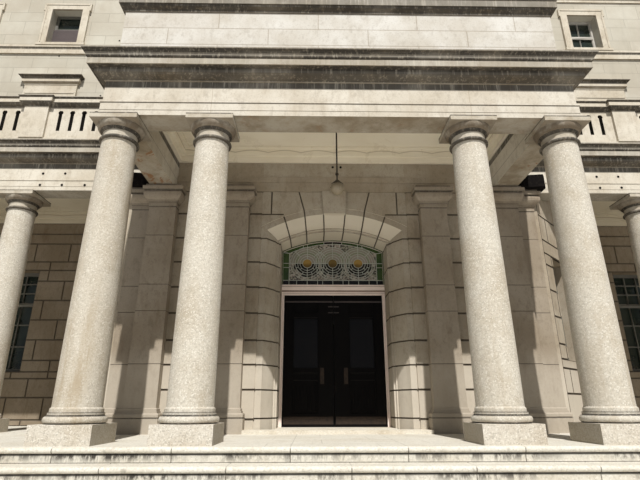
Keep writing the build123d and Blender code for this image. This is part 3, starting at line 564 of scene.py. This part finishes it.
def glassFinish(name, colour, deep, roughness, shine):
    finish = Finish(name, roughness, specular=shine)
    finish.ground(finish.noise(1.7, 3.0, 0.5), 0.35, 0.65, colour, deep)
    return finish.paint(finish.noise(2.4, 2.0, 0.4), 0.004)


dress(glassFinish("darkWindowGlass", (0.012, 0.020, 0.016), (0.024, 0.032, 0.026), 0.08, 0.6),
      "front_glass", "rear_glass", "side_glass")
dress(glassFinish("doorGlass", (0.0035, 0.003, 0.0032), (0.007, 0.006, 0.0058), 0.2, 0.25),
      "door_glass_left", "door_glass_right")


def lampGlassFinish():
    finish = Finish("opalGlass", 0.25, specular=0.5)
    cloud = finish.noise(9.0, 3.0, 0.5)
    # painted light and shade: the globe paler below and darker above
    finish.ground(finish.split()[2], up + 4.02, up + 4.12, (0.27, 0.225, 0.155), (0.17, 0.14, 0.095))
    finish.stain(cloud, 0.45, 0.7, 0.3, (0.36, 0.31, 0.22))
    return finish.paint(roughness=0.2 + cloud * 0.2)


dress(lampGlassFinish(), "lamp_globe")

# the fanlight: three ringed discs, a green border, dark squares along the foot;
# border and glass are arches, given as radius and height of the centre
fan = {
    "y": 3.632,
    "level": 3.275,
    "centres": (-0.539, -0.005, 0.532),
    "disc": 0.091,
    "hub": 0.098,
    "rings": (0.153, 0.203, 0.254, 0.305, 0.356),
    "side": 0.918,
    "half": 1.043,
    "border": (2.12, 1.584),
    "glass": (2.424, 1.332),
    "footBar": 2.907,
    "foot": 2.806,
}


def fanGlassFinish():
    finish = Finish("leadedGlass", 0.22, specular=0.4)
    x, _, z = finish.split()
    high = z - (up + fan["level"])
    near = None
    for centre in fan["centres"]:
        reach = ((x - centre) * (x - centre) + high * high) ** 0.5
        near = reach if near is None else near.math("MINIMUM", reach)
    below = finish.fit(high, 0.003, -0.003)
    pieces = finish.grains(34.0)
    tone = finish.noise(3.0, 3.0, 0.6)
    finish.ground(tone, 0.4, 0.65, (0.34, 0.30, 0.26), (0.27, 0.265, 0.205))
    ring = finish.fit(abs(near - 0.228), 0.028, 0.022) * (1 - below)
    finish.lay(ring * 0.6, (0.22, 0.25, 0.15))
    # small broken pieces outside the rings
    speckle = finish.fit(near, 0.352, 0.358).math("MAXIMUM", below * finish.fit(near, 0.300, 0.310))
    finish.lay(speckle * finish.fit(pieces, 0.60, 0.72) * 0.85, (0.045, 0.040, 0.036))
    finish.lay(speckle * finish.fit(pieces, 0.25, 0.12) * 0.8, (0.50, 0.46, 0.41))
    patch = finish.fit(finish.noise(6.0, 2.0, 0.5), 0.46, 0.5)
    inner = below * finish.fit(near, 0.257, 0.251)
    outer = below * finish.fit(near, 0.308, 0.302) * patch
    finish.lay(inner.math("MAXIMUM", outer) * 0.97, (0.006, 0.006, 0.006))
    # border: green sides and arch, nearly black in the middle and along the foot
    radius, centre = fan["border"]
    rise = z - (up + centre)
    arch = finish.fit((x * x + rise * rise) ** 0.5, radius - 0.002, radius + 0.002)
    sides = finish.fit(abs(x), fan["side"] - 0.002, fan["side"] + 0.002)
    green = finish.mix(finish.fit(tone, 0.35, 0.7), (0.048, 0.088, 0.024), (0.024, 0.048, 0.015))
    finish.lay(arch.math("MAXIMUM", sides), green)
    finish.lay(arch * finish.fit(abs(x), 0.195, 0.190), (0.008, 0.007, 0.010))
    bar = up + fan["footBar"]
    finish.lay(finish.fit(z, bar + 0.002, bar - 0.002), (0.007, 0.007, 0.006))
    # painted shade: the amber discs darker towards their foot; the middle disc darker still
    amber = finish.mix(finish.fit(high + finish.noise(9.0) * 0.1, 0.07, 0.0), (0.33, 0.21, 0.055), (0.16, 0.095, 0.02))
    amber = finish.mix(finish.fit(abs(x), 0.2, 0.15) * 0.6, amber, (0.05, 0.035, 0.012))
    finish.lay(finish.fit(near, fan["disc"] + 0.003, fan["disc"] - 0.003), amber)
    return finish.paint(finish.noise(20.0, 2.0, 0.5), 0.002)


dress(fanGlassFinish(), "fanlight")
print("finishes made,", len(bpy.data.materials))


# --- modelling helpers ---
def deselect():
    if bpy.context.object and bpy.context.object.mode != "OBJECT":
        bpy.ops.object.mode_set(mode="OBJECT")
    bpy.ops.object.select_all(action="DESELECT")


def only(piece):
    deselect()
    piece.select_set(True)
    bpy.context.view_layer.objects.active = piece


def settle(piece, name):
    # place, turn and size go into the mesh
    piece.name = name
    only(piece)
    bpy.ops.object.transform_apply(location=True, rotation=True, scale=True)
    return piece


def shape(piece):
    only(piece)
    bpy.ops.object.mode_set(mode="EDIT")


def done():
    bpy.ops.object.mode_set(mode="OBJECT")


def pick(test=None):
    # choose faces by the place of their middle and their normal, or all of them
    bpy.ops.mesh.select_mode(type="FACE")
    mesh = bmesh.from_edit_mesh(bpy.context.object.data)
    for items in (mesh.verts, mesh.edges, mesh.faces):
        for item in items:
            item.select_set(False)
    for face in mesh.faces:
        if test is None or test(face.calc_center_median(), face.normal):
            face.select_set(True)
    bmesh.update_edit_mesh(bpy.context.object.data)


def cut(where, across, test=None, **settings):
    pick(test)
    bpy.ops.mesh.bisect(plane_co=where, plane_no=across, **settings)


def drop(test=None):
    # the faces that pass the test go, or those that are chosen already
    if test:
        pick(test)
    bpy.ops.mesh.delete(type="FACE")


def inset(width, depth=0, each=False):
    bpy.ops.mesh.inset(thickness=width, depth=depth, use_individual=each)


def pull(distance):
    # the chosen faces come forward, towards the street
    bpy.ops.mesh.extrude_region_move(TRANSFORM_OT_translate={"value": (0, -distance, 0)})


def darken(piece, index=1):
    # the chosen faces take the second finish
    mesh = bmesh.from_edit_mesh(piece.data)
    for face in mesh.faces:
        if face.select:
            face.material_index = index
    bmesh.update_edit_mesh(piece.data)


def modified(piece, kind, **settings):
    only(piece)
    modifier = piece.modifiers.new("step", kind)
    for name, value in settings.items():
        setattr(modifier, name, value)
    bpy.ops.object.modifier_apply(modifier=modifier.name)
    return piece


def eased(piece, width, segments=1):
    return modified(piece, "BEVEL", width=width, segments=segments, limit_method="ANGLE")


def thickened(piece, depth, ease):
    # a shaped sheet gets its depth, then eased edges
    done()
    modified(piece, "SOLIDIFY", thickness=depth, offset=1)
    return eased(piece, ease)


def block(name, low, high, ease=0.0, segments=1):
    # a bar or slab between two corners, its edges eased
    deselect()
    middle = [(a + b) / 2 for a, b in zip(low, high)]
    bpy.ops.mesh.primitive_cube_add(size=1, location=middle, scale=[abs(b - a) for a, b in zip(low, high)])
    piece = settle(bpy.context.object, name)
    return eased(piece, ease, segments) if ease else piece


def slab(name, across, depth, rise, ease=0.0, segments=1):
    # a block given by its spans in the front's own place
    (x0, x1), (y0, y1), (z0, z1) = sorted(across), depth, rise
    return block(name, spot(x0, y0, z0), spot(x1, y1, z1), ease, segments)


def sheet(name, middle, length, height, angle=0.0):
    # an upright plane that faces the street, or turned by angle to the left
    deselect()
    bpy.ops.mesh.primitive_plane_add(size=1, location=middle, rotation=(math.radians(90), 0, angle))
    piece = bpy.context.object
    piece.scale = (length, height, 1)
    return settle(piece, name)


def copied(piece, name, move, turn):
    # a copy with its own mesh, turned about the front's own middle line, then moved
    twin = piece.copy()
    twin.data = piece.data.copy()
    twin.name = name
    bpy.context.scene.collection.objects.link(twin)
    twin.data.transform(Matrix.Translation(move) @ Matrix.Rotation(turn, 4, "Z"))
    return twin


def coat(piece, *finishes):
    # the first finish covers the piece, the second its darkened faces; clearing the slots would lose that
    slots = piece.data.materials
    for k, finish in enumerate(finishes):
        if k < len(slots):
            slots[k] = finish
        else:
            slots.append(finish)


def placed(name, pieces, body, slot, *finishes):
    # the pieces become one, with its name, finishes and body; slot is not used
    piece = pieces[0]
    only(piece)
    for other in pieces[1:]:
        other.select_set(True)
    if len(pieces) > 1:
        bpy.ops.object.join()
    piece.name = name
    coat(piece, *finishes)
    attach(piece, body)


# --- walls of channelled stones ---
channel = {"joint": 0.022, "slope": 0.007, "raise": 0.018, "back": 0.03, "proud": 0.002, "least": 0.02}

# main block: depth of front and rear face, half width, thickness of the walls, distance from window to window
main = {"front": 6.2, "rear": 15.2, "side": 13.3, "wall": 0.52, "pitch": 2.787, "glassBack": 0.3, "sideWindows": 3}

# width, sill, head, uprights, level bars, meeting rail; bars and rail as shares of the light
windowKinds = {
    "loggia": (1.5, 1.24, 3.815, [0.27, 0.5, 0.73], [0.229, 0.456, 0.672, 0.798, 0.901], 0.672),
    "first": (1.05, 6.95, 9.15, [0.33, 0.67], [0.25, 0.5, 0.75], 0.5),
    "upper": (0.966, 11.19, 12.55, [0.5], [0.5], 0.5),
    "blinded": (0.966, 11.19, 12.55, [], [0.57], 0.57),
    "cant": (0.9, 1.24, 3.25, [0.33, 0.67], [0.2, 0.4, 0.6, 0.8], 0.6),
}


def stonework(finish, start, along, length, top, levels, joints, holes=(), flush=False):
    # start: foot of the wall; joints(course) gives the upright joints of a course;
    # holes are (from, to, low, high); flush: no joint at the two ends
    along = Vector(along).normalized()
    out = along.cross(Vector((0, 0, 1)))
    middle = start + along * length / 2 + out * channel["proud"] + Vector((0, 0, top / 2))
    wall = sheet("wall", middle, length, top, math.atan2(along.y, along.x))

    def inHole(c, n):
        t = (c - start).dot(along)
        return any(a < t < b and up + low < c.z < up + high for a, b, low, high in holes)

    shape(wall)
    edges = [0] + [z for z in levels if 0 < z < top] + [top]
    for z in edges[1:-1]:
        cut((0, 0, up + z), (0, 0, 1))
    for course, (low, high) in enumerate(zip(edges, edges[1:])):
        ends = joints(course) + [t for hole in holes for t in hole[:2] if hole[2] < (low + high) / 2 < hole[3]]
        for t in ends:
            if channel["least"] < t < length - channel["least"]:
                cut(start + along * t, along, lambda c, n: up + low < c.z < up + high)
    if holes:
        drop(inHole)
    pick()
    darken(wall)
    inset(channel["joint"] / 2, 0, True)
    inset(channel["slope"], channel["raise"], True)
    darken(wall, 0)
    if flush:
        margin = channel["joint"] / 2 + channel["slope"] - 0.0005
        drop(lambda c, n: not margin < (c - start).dot(along) < length - margin)
    done()
    coat(wall, finish, jointStone)
    return modified(wall, "SOLIDIFY", thickness=channel["back"], offset=-1)


def brick(length, step, first):
    # upright joints in brick bond: every other course is shifted by half
    def joints(course):
        t = first + (course % 2) * step / 2
        found = []
        while t < length:
            found.append(t)
            t += step
        return found
    return joints


porch = {
    "face": 2.705, "top": 4.490, "stone": 0.9, "first": 0.42,
    "doorSide": (1.413, 1.675), "sideField": (2.17, 3.08),
    "levels": (0.222, 0.705, 1.127, 1.555, 2.044, 2.532, 3.019, 3.502, 4.005),
}
walls = []
for side in (-1, 1):
    for field in ("doorSide", "sideField"):
        left, right = sorted(side * x for x in porch[field])
        bond = brick(right - left, porch["stone"], porch["first"])
        walls.append(stonework(wallStone, spot(left, porch["face"], 0), (1, 0, 0), right - left, porch["top"],
                               porch["levels"], bond, flush=field == "doorSide"))
placed("porchStones", walls, "building", "limestone")
print("porch stones done")

# lintel: a level joint over the windows; plain: a course above this has no upright joints
loggia = {
    "inner": 5.25, "outer": 12.907, "top": 5.14, "lintel": 4.828, "plain": 4.5, "stone": 0.9, "first": 0.30,
    "levels": [0.134, 0.639, 1.079, 1.511, 2.013, 2.512, 3.015, 3.524, 4.047, 4.548],
}
width, sill, head = windowKinds["loggia"][:3]
levels = sorted(loggia["levels"] + [sill, head, loggia["lintel"]])
run = loggia["outer"] - loggia["inner"]
walls = []
for side in (-1, 1):
    def fromLeft(x):
        # how far a place lies from the left end of this wall
        return x - loggia["inner"] if side > 0 else loggia["outer"] - x

    def bond(course):
        low = ([0] + levels)[course]
        if low > loggia["plain"]:
            return []
        row = sum(1 for z in loggia["levels"] if z <= low + 0.01)
        first = loggia["inner"] + loggia["first"] + row % 2 * loggia["stone"] / 2
        return [fromLeft(first + loggia["stone"] * k) for k in range(9)]

    middles = [fromLeft(main["pitch"] * k) for k in (3, 4)]
    holes = [(middle - width / 2, middle + width / 2, sill, head) for middle in middles]
    start = spot(min(side * loggia["inner"], side * loggia["outer"]), main["front"], 0)
    walls.append(stonework(loggiaStone, start, (1, 0, 0), run, loggia["top"], levels, bond, holes))
placed("loggiaStones", walls, "building", "limestone")
print("loggia stones done")

# canted walls: x and depth of each wall's left end, and the way it runs
cant = {
    "walls": (((-5.243, 3.943), (1, -1, 0)), ((4.06, 2.76), (1, 1, 0))),
    "run": 1.2 * math.sqrt(2) - 0.03, "top": 4.5, "stone": 1.2, "first": 0.35, "window": (4.65, 3.35),
}
width, sill, head = windowKinds["cant"][:3]
run = cant["run"]
levels = sorted(loggia["levels"][:-1] + [sill, head])
holes = [((run - width) / 2, (run + width) / 2, sill, head)]
walls = []
for (x, y), along in cant["walls"]:
    walls.append(stonework(wallStone, spot(x, y, 0), along, run, cant["top"], levels,
                           brick(run, cant["stone"], cant["first"]), holes))
placed("cantedStones", walls, "building", "limestone")
print("canted stones done")


# --- doorway: joints cut into copies of the stones ---
def grooved(node, name, planes, splits=(), band=0.026, depth=0.018):
    # planes are (point, normal, test of the place where the joint runs); splits are heights that end the joints
    original = nodes[node]
    piece = original.copy()
    piece.data = original.data.copy()
    piece.name = name
    for key in list(piece.keys()):
        del piece[key]
    piece.parent = None
    bpy.context.scene.collection.objects.link(piece)
    only(piece)
    bpy.ops.mesh.customdata_custom_splitnormals_clear()
    shape(piece)
    bpy.ops.mesh.select_mode(type="FACE")
    bpy.ops.mesh.select_all(action="SELECT")
    bpy.ops.mesh.remove_doubles(threshold=0.0002)
    bpy.ops.mesh.dissolve_limited(angle_limit=math.radians(0.5))
    for z in splits:
        cut((0, 0, up + z), (0, 0, 1))
    for point, normal, runs in planes:
        normal = Vector(normal).normalized()
        for offset in (-band / 2, band / 2):
            cut(point + normal * offset, normal)
        pick(lambda c, n: abs((c - point).dot(normal)) < band / 2 and runs(c))
        darken(piece)
        inset(0.004, -depth)
    done()
    bpy.ops.object.shade_smooth_by_angle(angle=math.radians(28))
    return piece


jambLevels = (0.235, 0.705, 1.127, 1.555, 2.044, 2.532, 3.019)
jambs = grooved("door_jambs", "doorJambStones", [(spot(0, 0, z), (0, 0, 1), lambda c: True) for z in jambLevels])
placed("doorJambStones", [jambs], "building", "limestone", doorwayStone, jointStone)
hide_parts("door_jambs")

# joints of the arch in the front view. slanted: two points, and the heights between which each runs;
# level and lowLevel: height and inner end; upright: x and heights; top: where all joints end
archLines = {
    "slanted": [
        ((0.692, 4.449), (0.597, 4.083), 4.075, 4.60),
        ((0.597, 4.083), (0.522, 3.494), 3.30, 4.085),
        ((0.998, 3.962), (0.835, 3.500), 3.30, 3.97),
        ((0.213, 4.009), (0.173, 3.506), 3.30, 4.02),
    ],
    "level": (4.005, 0.98),
    "lowLevel": (3.507, 0.9),
    "upright": (1.245, 4.02, 4.6),
    "top": 4.6,
}


def archPlanes(side):
    def onFace(c):
        return c.y < plinthFront + porch["face"] + 0.05

    planes = []
    for (x0, z0), (x1, z1), low, high in archLines["slanted"]:
        def runs(c, low=low, high=high):
            return c.x * side > 0.1 and up + low < c.z < up + high
        planes.append((spot(side * x0, porch["face"], z0), (z0 - z1, 0, -side * (x0 - x1)), runs))
    z, end = archLines["level"]
    planes.append((spot(0, 0, z), (0, 0, 1), lambda c: c.x * side > end and onFace(c)))
    z, lowEnd = archLines["lowLevel"]
    planes.append((spot(0, 0, z), (0, 0, 1), lambda c: c.x * side > lowEnd))
    x, foot, head = archLines["upright"]
    planes.append((spot(side * x, 0, 0), (1, 0, 0), lambda c: up + foot < c.z < up + head and onFace(c)))
    return planes


arch = grooved("door_arch", "doorArchStones", archPlanes(-1) + archPlanes(1), [archLines["top"]])
placed("doorArchStones", [arch], "building", "limestone", doorwayStone, jointStone)
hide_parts("door_arch")
print("doorway stones done")


# --- windows: frame and bars, one of each kind, then copies ---
sash = {"frame": 0.075, "bar": 0.028, "depth": 0.05, "back": 0.004, "rail": 0.03, "ease": 0.004}


def sashWindow(width, low, high, uprights, crossings, heavy):
    piece = sheet("sash", (0, 0, (low + high) / 2), width, high - low)
    half, foot, top = width / 2 - sash["frame"], low + sash["frame"], high - sash["frame"]
    rail = foot + (top - foot) * heavy

    def inside(c, n):
        return abs(c.x) < half and foot < c.z < top

    shape(piece)
    pick()
    inset(sash["frame"])
    for part in uprights:
        cut((half * (2 * part - 1), 0, 0), (1, 0, 0), inside)
    for part in crossings:
        cut((0, 0, foot + (top - foot) * part), (0, 0, 1), inside)
    pick(inside)
    inset(sash["bar"] / 2, 0, True)
    drop()
    pick(lambda c, n: abs(c.z - rail) < sash["bar"] and abs(c.x) < half)
    pull(sash["rail"])
    return thickened(piece, sash["depth"], sash["ease"])


fascia = {
    "surround": 0.225, "ear": 0.040, "drop": 0.060, "reach": 0.060, "width": 0.062, "proud": 0.016, "ease": 0.003,
}


def fasciaRing(width, low, high):
    # the raised outer edge of a window's stone frame, with its ears
    out = width / 2 + fascia["surround"]
    top = high + fascia["surround"]
    earFoot = high - fascia["drop"]
    piece = sheet("ring", (0, -fascia["reach"], (low + top) / 2), 2 * (out + fascia["ear"]), top - low)
    shape(piece)
    for x in (-out, out):
        cut((x, 0, 0), (1, 0, 0))
    cut((0, 0, earFoot), (0, 0, 1))
    drop(lambda c, n: abs(c.x) > out and c.z < earFoot)
    pick()
    inset(fascia["width"])
    drop()
    drop(lambda c, n: abs(c.x) < out - fascia["width"] and c.z < high)
    return thickened(piece, fascia["proud"], fascia["ease"])


patterns = {kind: sashWindow(*sizes) for kind, sizes in windowKinds.items()}
ringKinds = {kind: fasciaRing(*windowKinds[kind][:3]) for kind in ("first", "upper")}
setIn = main["glassBack"] - sash["back"]
blindBay = -3
darkSashes = []
paleSashes = []
rings = []


def hang(kind, x, y, turn):
    piece = copied(patterns[kind], "sash", spot(x, y, 0), turn)
    (paleSashes if kind == "upper" else darkSashes).append(piece)


def trimmed(x, y, turn):
    for ring in ringKinds.values():
        rings.append(copied(ring, "ring", spot(x, y, 0), turn))


for k in range(-4, 5):
    x = main["pitch"] * k
    hang("first", x, main["front"] + setIn, 0)
    hang("blinded" if k == blindBay else "upper", x, main["front"] + setIn, 0)
    trimmed(x, main["front"], 0)
    trimmed(x, main["rear"], math.pi)
    if abs(k) >= 3:
        hang("loggia", x, main["front"] + setIn, 0)
    for kind in ("loggia", "first", "upper"):
        hang(kind, x, main["rear"] - setIn, math.pi)
room = main["rear"] - main["front"] - 2 * main["wall"]
for side in (-1, 1):
    for k in range(main["sideWindows"]):
        y = main["front"] + main["wall"] + room / main["sideWindows"] * (k + 0.5)
        trimmed(side * main["side"], y, side * math.pi / 2)
        for kind in ("loggia", "first", "upper"):
            hang(kind, side * (main["side"] - setIn), y, side * math.pi / 2)
    x, y = cant["window"]
    hang("cant", side * (x - setIn / math.sqrt(2)), y + setIn / math.sqrt(2), side * math.pi / 4)
for pattern in list(patterns.values()) + list(ringKinds.values()):
    bpy.data.objects.remove(pattern)
placed("windowBars", darkSashes, "building", "window_glass", barPaint)
placed("upperWindowBars", paleSashes, "building", "window_glass", whiteBarPaint)
placed("windowFascias", rings, "building", "ashlar", trimStone)

# the left upper window has a slatted blind over its lower half
blind = {
    "slats": 22, "low": 11.20, "high": 11.955, "half": 0.478, "depth": (6.400, 6.422), "gap": 0.011, "ease": 0.004,
}
pitch = (blind["high"] - blind["low"]) / blind["slats"]
x = main["pitch"] * blindBay
slat = slab("slat", (x - blind["half"], x + blind["half"]), blind["depth"],
            (blind["low"], blind["low"] + pitch - blind["gap"]), blind["ease"])
modified(slat, "ARRAY", count=blind["slats"], use_relative_offset=False, use_constant_offset=True,
         constant_offset_displace=(0, 0, pitch))
placed("windowBlind", [slat], "building", "frame_paint", blindPaint)
print("windows done")

# --- fanlight leads ---
# corner: height where the slanted leads end; uprights and feet: x of the short leads of border and foot
lead = {
    "half": 0.0060, "deep": 0.006, "ease": 0.002, "ring": 0.0055, "gap": 0.004, "archFoot": 3.3, "corner": 3.512,
    "sideStep": 0.090, "uprights": (0.190, 0.625), "feet": (-0.759, -0.323, -0.217, 0.208, 0.326, 0.752),
}
leads = []


def leadBar(x0, z0, x1, z1):
    # a lead between two places of the front view
    run = math.hypot(x1 - x0, z1 - z0)
    bar = block("lead", (-run / 2, -lead["deep"], -lead["half"]), (run / 2, lead["deep"], lead["half"]), lead["ease"])
    turn = Matrix.Rotation(-math.atan2(z1 - z0, x1 - x0), 4, "Y")
    bar.data.transform(Matrix.Translation(spot((x0 + x1) / 2, fan["y"], (z0 + z1) / 2)) @ turn)
    leads.append(bar)


def leadRing(x, z, radius, segments=44):
    deselect()
    bpy.ops.mesh.primitive_torus_add(
        location=spot(x, fan["y"], z), rotation=(math.pi / 2, 0, 0), major_radius=radius,
        minor_radius=lead["ring"], major_segments=segments, minor_segments=6)
    leads.append(settle(bpy.context.object, "lead"))


def archAt(x, name):
    radius, centre = fan[name]
    return centre + math.sqrt(radius * radius - x * x)


def clip(piece, half, fill):
    # of a circle only the arch between two uprights stays
    shape(piece)
    for place, out in ((spot(half, 0, 0), (1, 0, 0)), (spot(-half, 0, 0), (-1, 0, 0)),
                       (spot(0, 0, lead["archFoot"]), (0, 0, -1))):
        cut(place, out, clear_outer=True, use_fill=fill)


# spokes of each gap between rings, in degrees from the right: above, then below in brick bond
gaps = [
    (0.153, 0.203, (222, 318)),
    (0.203, 0.254, (45, 135, 203, 246, 294, 337)),
    (0.254, 0.305, (45, 135, 224, 316)),
    (0.305, 0.356, (45, 135, 242, 298)),
]
level, hub = fan["level"], fan["hub"]
for x in fan["centres"]:
    for radius in (hub,) + fan["rings"]:
        leadRing(x, level, radius)
    for low, high, spokes in gaps:
        for angle in spokes:
            c, d = math.cos(math.radians(angle)), math.sin(math.radians(angle))
            leadBar(x + low * c, level + low * d, x + high * c, level + high * d)
    leadBar(x, fan["foot"], x, level - hub)
    leadBar(x, level + hub, x, archAt(x, "glass") - lead["gap"])
edges = [-fan["side"]] + [x + s * hub for x in fan["centres"] for s in (-1, 1)] + [fan["side"]]
for x0, x1 in zip(edges[::2], edges[1::2]):
    leadBar(x0, level, x1, level)
for side in (-1, 1):
    x = side * fan["side"]
    leadBar(x, fan["foot"], x, archAt(x, "border"))
    leadBar(x, archAt(x, "border"), side * (fan["half"] - lead["half"]), lead["corner"])
    for z in (level, level - lead["sideStep"]):
        leadBar(x, z, side * (fan["half"] - lead["gap"]), z)
    for x in lead["uprights"]:
        leadBar(side * x, archAt(x, "border"), side * x, archAt(x, "glass") - lead["gap"])
leadBar(-fan["half"] + 0.003, fan["footBar"], fan["half"] - 0.003, fan["footBar"])
for x in lead["feet"]:
    leadBar(x, fan["foot"], x, fan["footBar"])
leadRing(0, fan["border"][1], fan["border"][0], 220)
clip(leads[-1], fan["side"], True)
done()
placed("fanlightLeads", leads, "building", "fanlight_glass", leadPaint)
print("fanlight done")

# --- door frame mouldings ---
# bands of the transom from the top down: foot height, how far the band stands out; the least proud are dark
transom = {"half": 1.060, "depth": (3.598, 3.604), "top": 2.800, "dark": 0.013, "ease": 0.002, "bands": [
    (2.776, 0.030), (2.761, 0.012), (2.744, 0.024), (2.690, 0.018), (2.675, 0.008), (2.650, 0.012), (2.625, 0.018),
    (2.616, 0.006), (2.590, 0.014)]}
high = transom["top"]
bar = slab("bar", (-transom["half"], transom["half"]), transom["depth"], (transom["bands"][-1][0], high))
shape(bar)
for z, _ in transom["bands"][:-1]:
    cut((0, 0, up + z), (0, 0, 1))
for low, proud in transom["bands"]:
    pick(lambda c, n: n.y < -0.9 and up + low < c.z < up + high)
    if proud < transom["dark"]:
        darken(bar)
    pull(proud)
    high = low
done()
eased(bar, transom["ease"])
placed("transomMoulding", [bar], "building", "frame_paint", pinkPaint, groovePaint)

# two mouldings on each post: inner x, outer x, how far they stand out
post = {
    "face": 3.602, "rise": (0.062, 2.588), "ease": 0.004,
    "mouldings": ((1.006, 1.026, 0.012), (1.034, 1.060, 0.020)),
}
posts = []
for side in (-1, 1):
    for near, far, proud in post["mouldings"]:
        depth = (post["face"] - proud, post["face"])
        posts.append(slab("post", (side * near, side * far), depth, post["rise"], post["ease"], 2))
placed("postMouldings", posts, "building", "frame_paint", pinkPaint)

# the rim round the fanlight: two uprights and an arch-shaped strip in front of the frame
rim = {
    "inner": 1.044, "outer": 1.062, "proud": 0.010, "rise": (2.806, 3.520), "ease": 0.003,
    "radius": 2.443, "width": 0.018, "archFoot": 3.5,
}
strips = []
for side in (-1, 1):
    depth = (post["face"] - rim["proud"], post["face"])
    strips.append(slab("strip", (side * rim["inner"], side * rim["outer"]), depth, rim["rise"], rim["ease"]))
deselect()
bpy.ops.mesh.primitive_circle_add(vertices=256, radius=rim["radius"], location=spot(0, post["face"], fan["glass"][1]),
                                  rotation=(math.pi / 2, 0, 0), fill_type="NGON")
strips.append(settle(bpy.context.object, "strip"))
clip(strips[-1], rim["outer"], False)
pick()
inset(rim["width"])
drop()
drop(lambda c, n: c.z < up + rim["archFoot"])
pick()
pull(rim["proud"])
bpy.ops.mesh.select_all(action="SELECT")
bpy.ops.mesh.normals_make_consistent(inside=False)
done()
placed("fanlightRim", strips, "building", "frame_paint", rimPaint)
print("frame mouldings done")

# --- door leaves: mouldings round the glass and panels, and small ribs ---
# head: inner x, outer x, front, low, high, ease, segments of the two bolt boxes and the top edge
leafTrim = {
    "face": 3.600, "proud": 0.009, "width": 0.016, "ease": 0.003, "left": 0.320, "right": 0.795, "back": 3.601,
    "panels": ((1.142, 2.100), (0.300, 1.022), (2.220, 2.468)),
    "edges": (2.118, 1.040, 0.905), "edgeHeight": 0.008, "edgeFront": 3.588, "edgeEase": 0.002,
    "head": ((0.004, 0.110, 3.586, 2.215, 2.232, 0.002, 1), (0.004, 0.110, 3.586, 2.335, 2.355, 0.002, 1),
             (0.010, 0.985, 3.588, 2.431, 2.462, 0.005, 2)),
}
rib = {"count": 6, "half": 0.013, "depth": (3.607, 3.617), "rise": (0.340, 0.820), "ease": 0.005}


def bead(x0, x1, low, high):
    # a thin frame round a panel
    width = leafTrim["width"]
    middle = spot((x0 + x1) / 2, leafTrim["face"], (low + high) / 2)
    piece = sheet("bead", middle, x1 - x0 + 2 * width, high - low + 2 * width)
    shape(piece)
    pick()
    inset(width)
    drop()
    return thickened(piece, leafTrim["proud"], leafTrim["ease"])


for side, body in ((-1, "left_leaf"), (1, "right_leaf")):
    left, right = sorted((side * leafTrim["left"], side * leafTrim["right"]))
    back = leafTrim["back"]
    frames = [bead(left, right, low, high) for low, high in leafTrim["panels"]]
    for k in range(rib["count"]):
        x = left + (right - left) * (k + 0.8) / (rib["count"] + 0.6)
        frames.append(slab("rib", (x - rib["half"], x + rib["half"]), rib["depth"], rib["rise"], rib["ease"], 2))
    placed(f"{body}Mouldings", frames, body, "door_wood", blackPaint)
    # top edges painted paler, as wear and as a painted highlight, and the small boxes at the meeting stiles
    depth, thick, ease = (leafTrim["edgeFront"], back), leafTrim["edgeHeight"], leafTrim["edgeEase"]
    worn = [slab("edge", (left, right), depth, (z, z + thick), ease) for z in leafTrim["edges"]]
    placed(f"{body}Edges", worn, body, "door_wood", wornAndLitPaint)
    heads = [slab("head", (side * near, side * far), (front, back), (low, high), ease, segments)
             for near, far, front, low, high, ease, segments in leafTrim["head"]]
    placed(f"{body}Head", heads, body, "door_wood", headPaint)
print("doors done")

# --- small fittings ---
# plugged fixing holes: x, depth line, height
plugs = [
    (-5.902, 2.755, 4.897), (-5.457, 2.755, 4.900), (5.433, 2.755, 4.900), (5.885, 2.755, 4.903),
    (-5.907, 2.737, 4.632), (-5.471, 2.737, 4.635), (-5.015, 2.737, 4.634), (5.444, 2.737, 4.638),
    (5.890, 2.737, 4.646), (-0.024, 2.705, 5.053), (0.138, 2.705, 5.053), (-8.351, 6.2, 10.741),
    (-6.57, 6.2, 11.36), (-7.645, 6.2, 12.369), (-9.10, 6.2, 12.369), (-6.85, 6.2, 9.285),
]
plug = {"radius": 0.024, "long": 0.012, "proud": 0.002, "rim": 0.006, "hollow": 0.007}
pieces = []
for x, y, z in plugs:
    deselect()
    bpy.ops.mesh.primitive_cylinder_add(vertices=12, radius=plug["radius"], depth=plug["long"],
                                        location=spot(x, y - plug["proud"], z), rotation=(math.pi / 2, 0, 0))
    pieces.append(settle(bpy.context.object, "plug"))
    shape(pieces[-1])
    pick(lambda c, n: n.y < -0.9)
    inset(plug["rim"], -plug["hollow"])
    done()
placed("fixingPlugs", pieces, "building", "black_metal", blackMetal)

lamp = {"y": 1.600, "ball": 4.323, "radius": 0.026, "seam": 0.004}
deselect()
bpy.ops.mesh.primitive_uv_sphere_add(segments=24, ring_count=14, radius=lamp["radius"],
                                     location=spot(0, lamp["y"], lamp["ball"]))
ball = settle(bpy.context.object, "ball")
shape(ball)
pick(lambda c, n: abs(n.z) < 0.12)
inset(0.001, lamp["seam"])
done()
bpy.ops.object.shade_smooth_by_angle(angle=math.radians(40))
placed("lampBall", [ball], "building", "lamp_metal", lampMetal)
print("fittings done")

# --- floor ---
deselect()
bpy.ops.mesh.primitive_plane_add(size=120, location=(0, 0, -0.001))
ground = bpy.context.object
ground.name = "paleFloor"
floorFinish = Finish("paleFloor", 0.9)
floorFinish.colour = floorFinish.mix(floorFinish.noise(0.4), (0.72, 0.71, 0.69), (0.76, 0.75, 0.73))
ground.data.materials.append(floorFinish.paint())
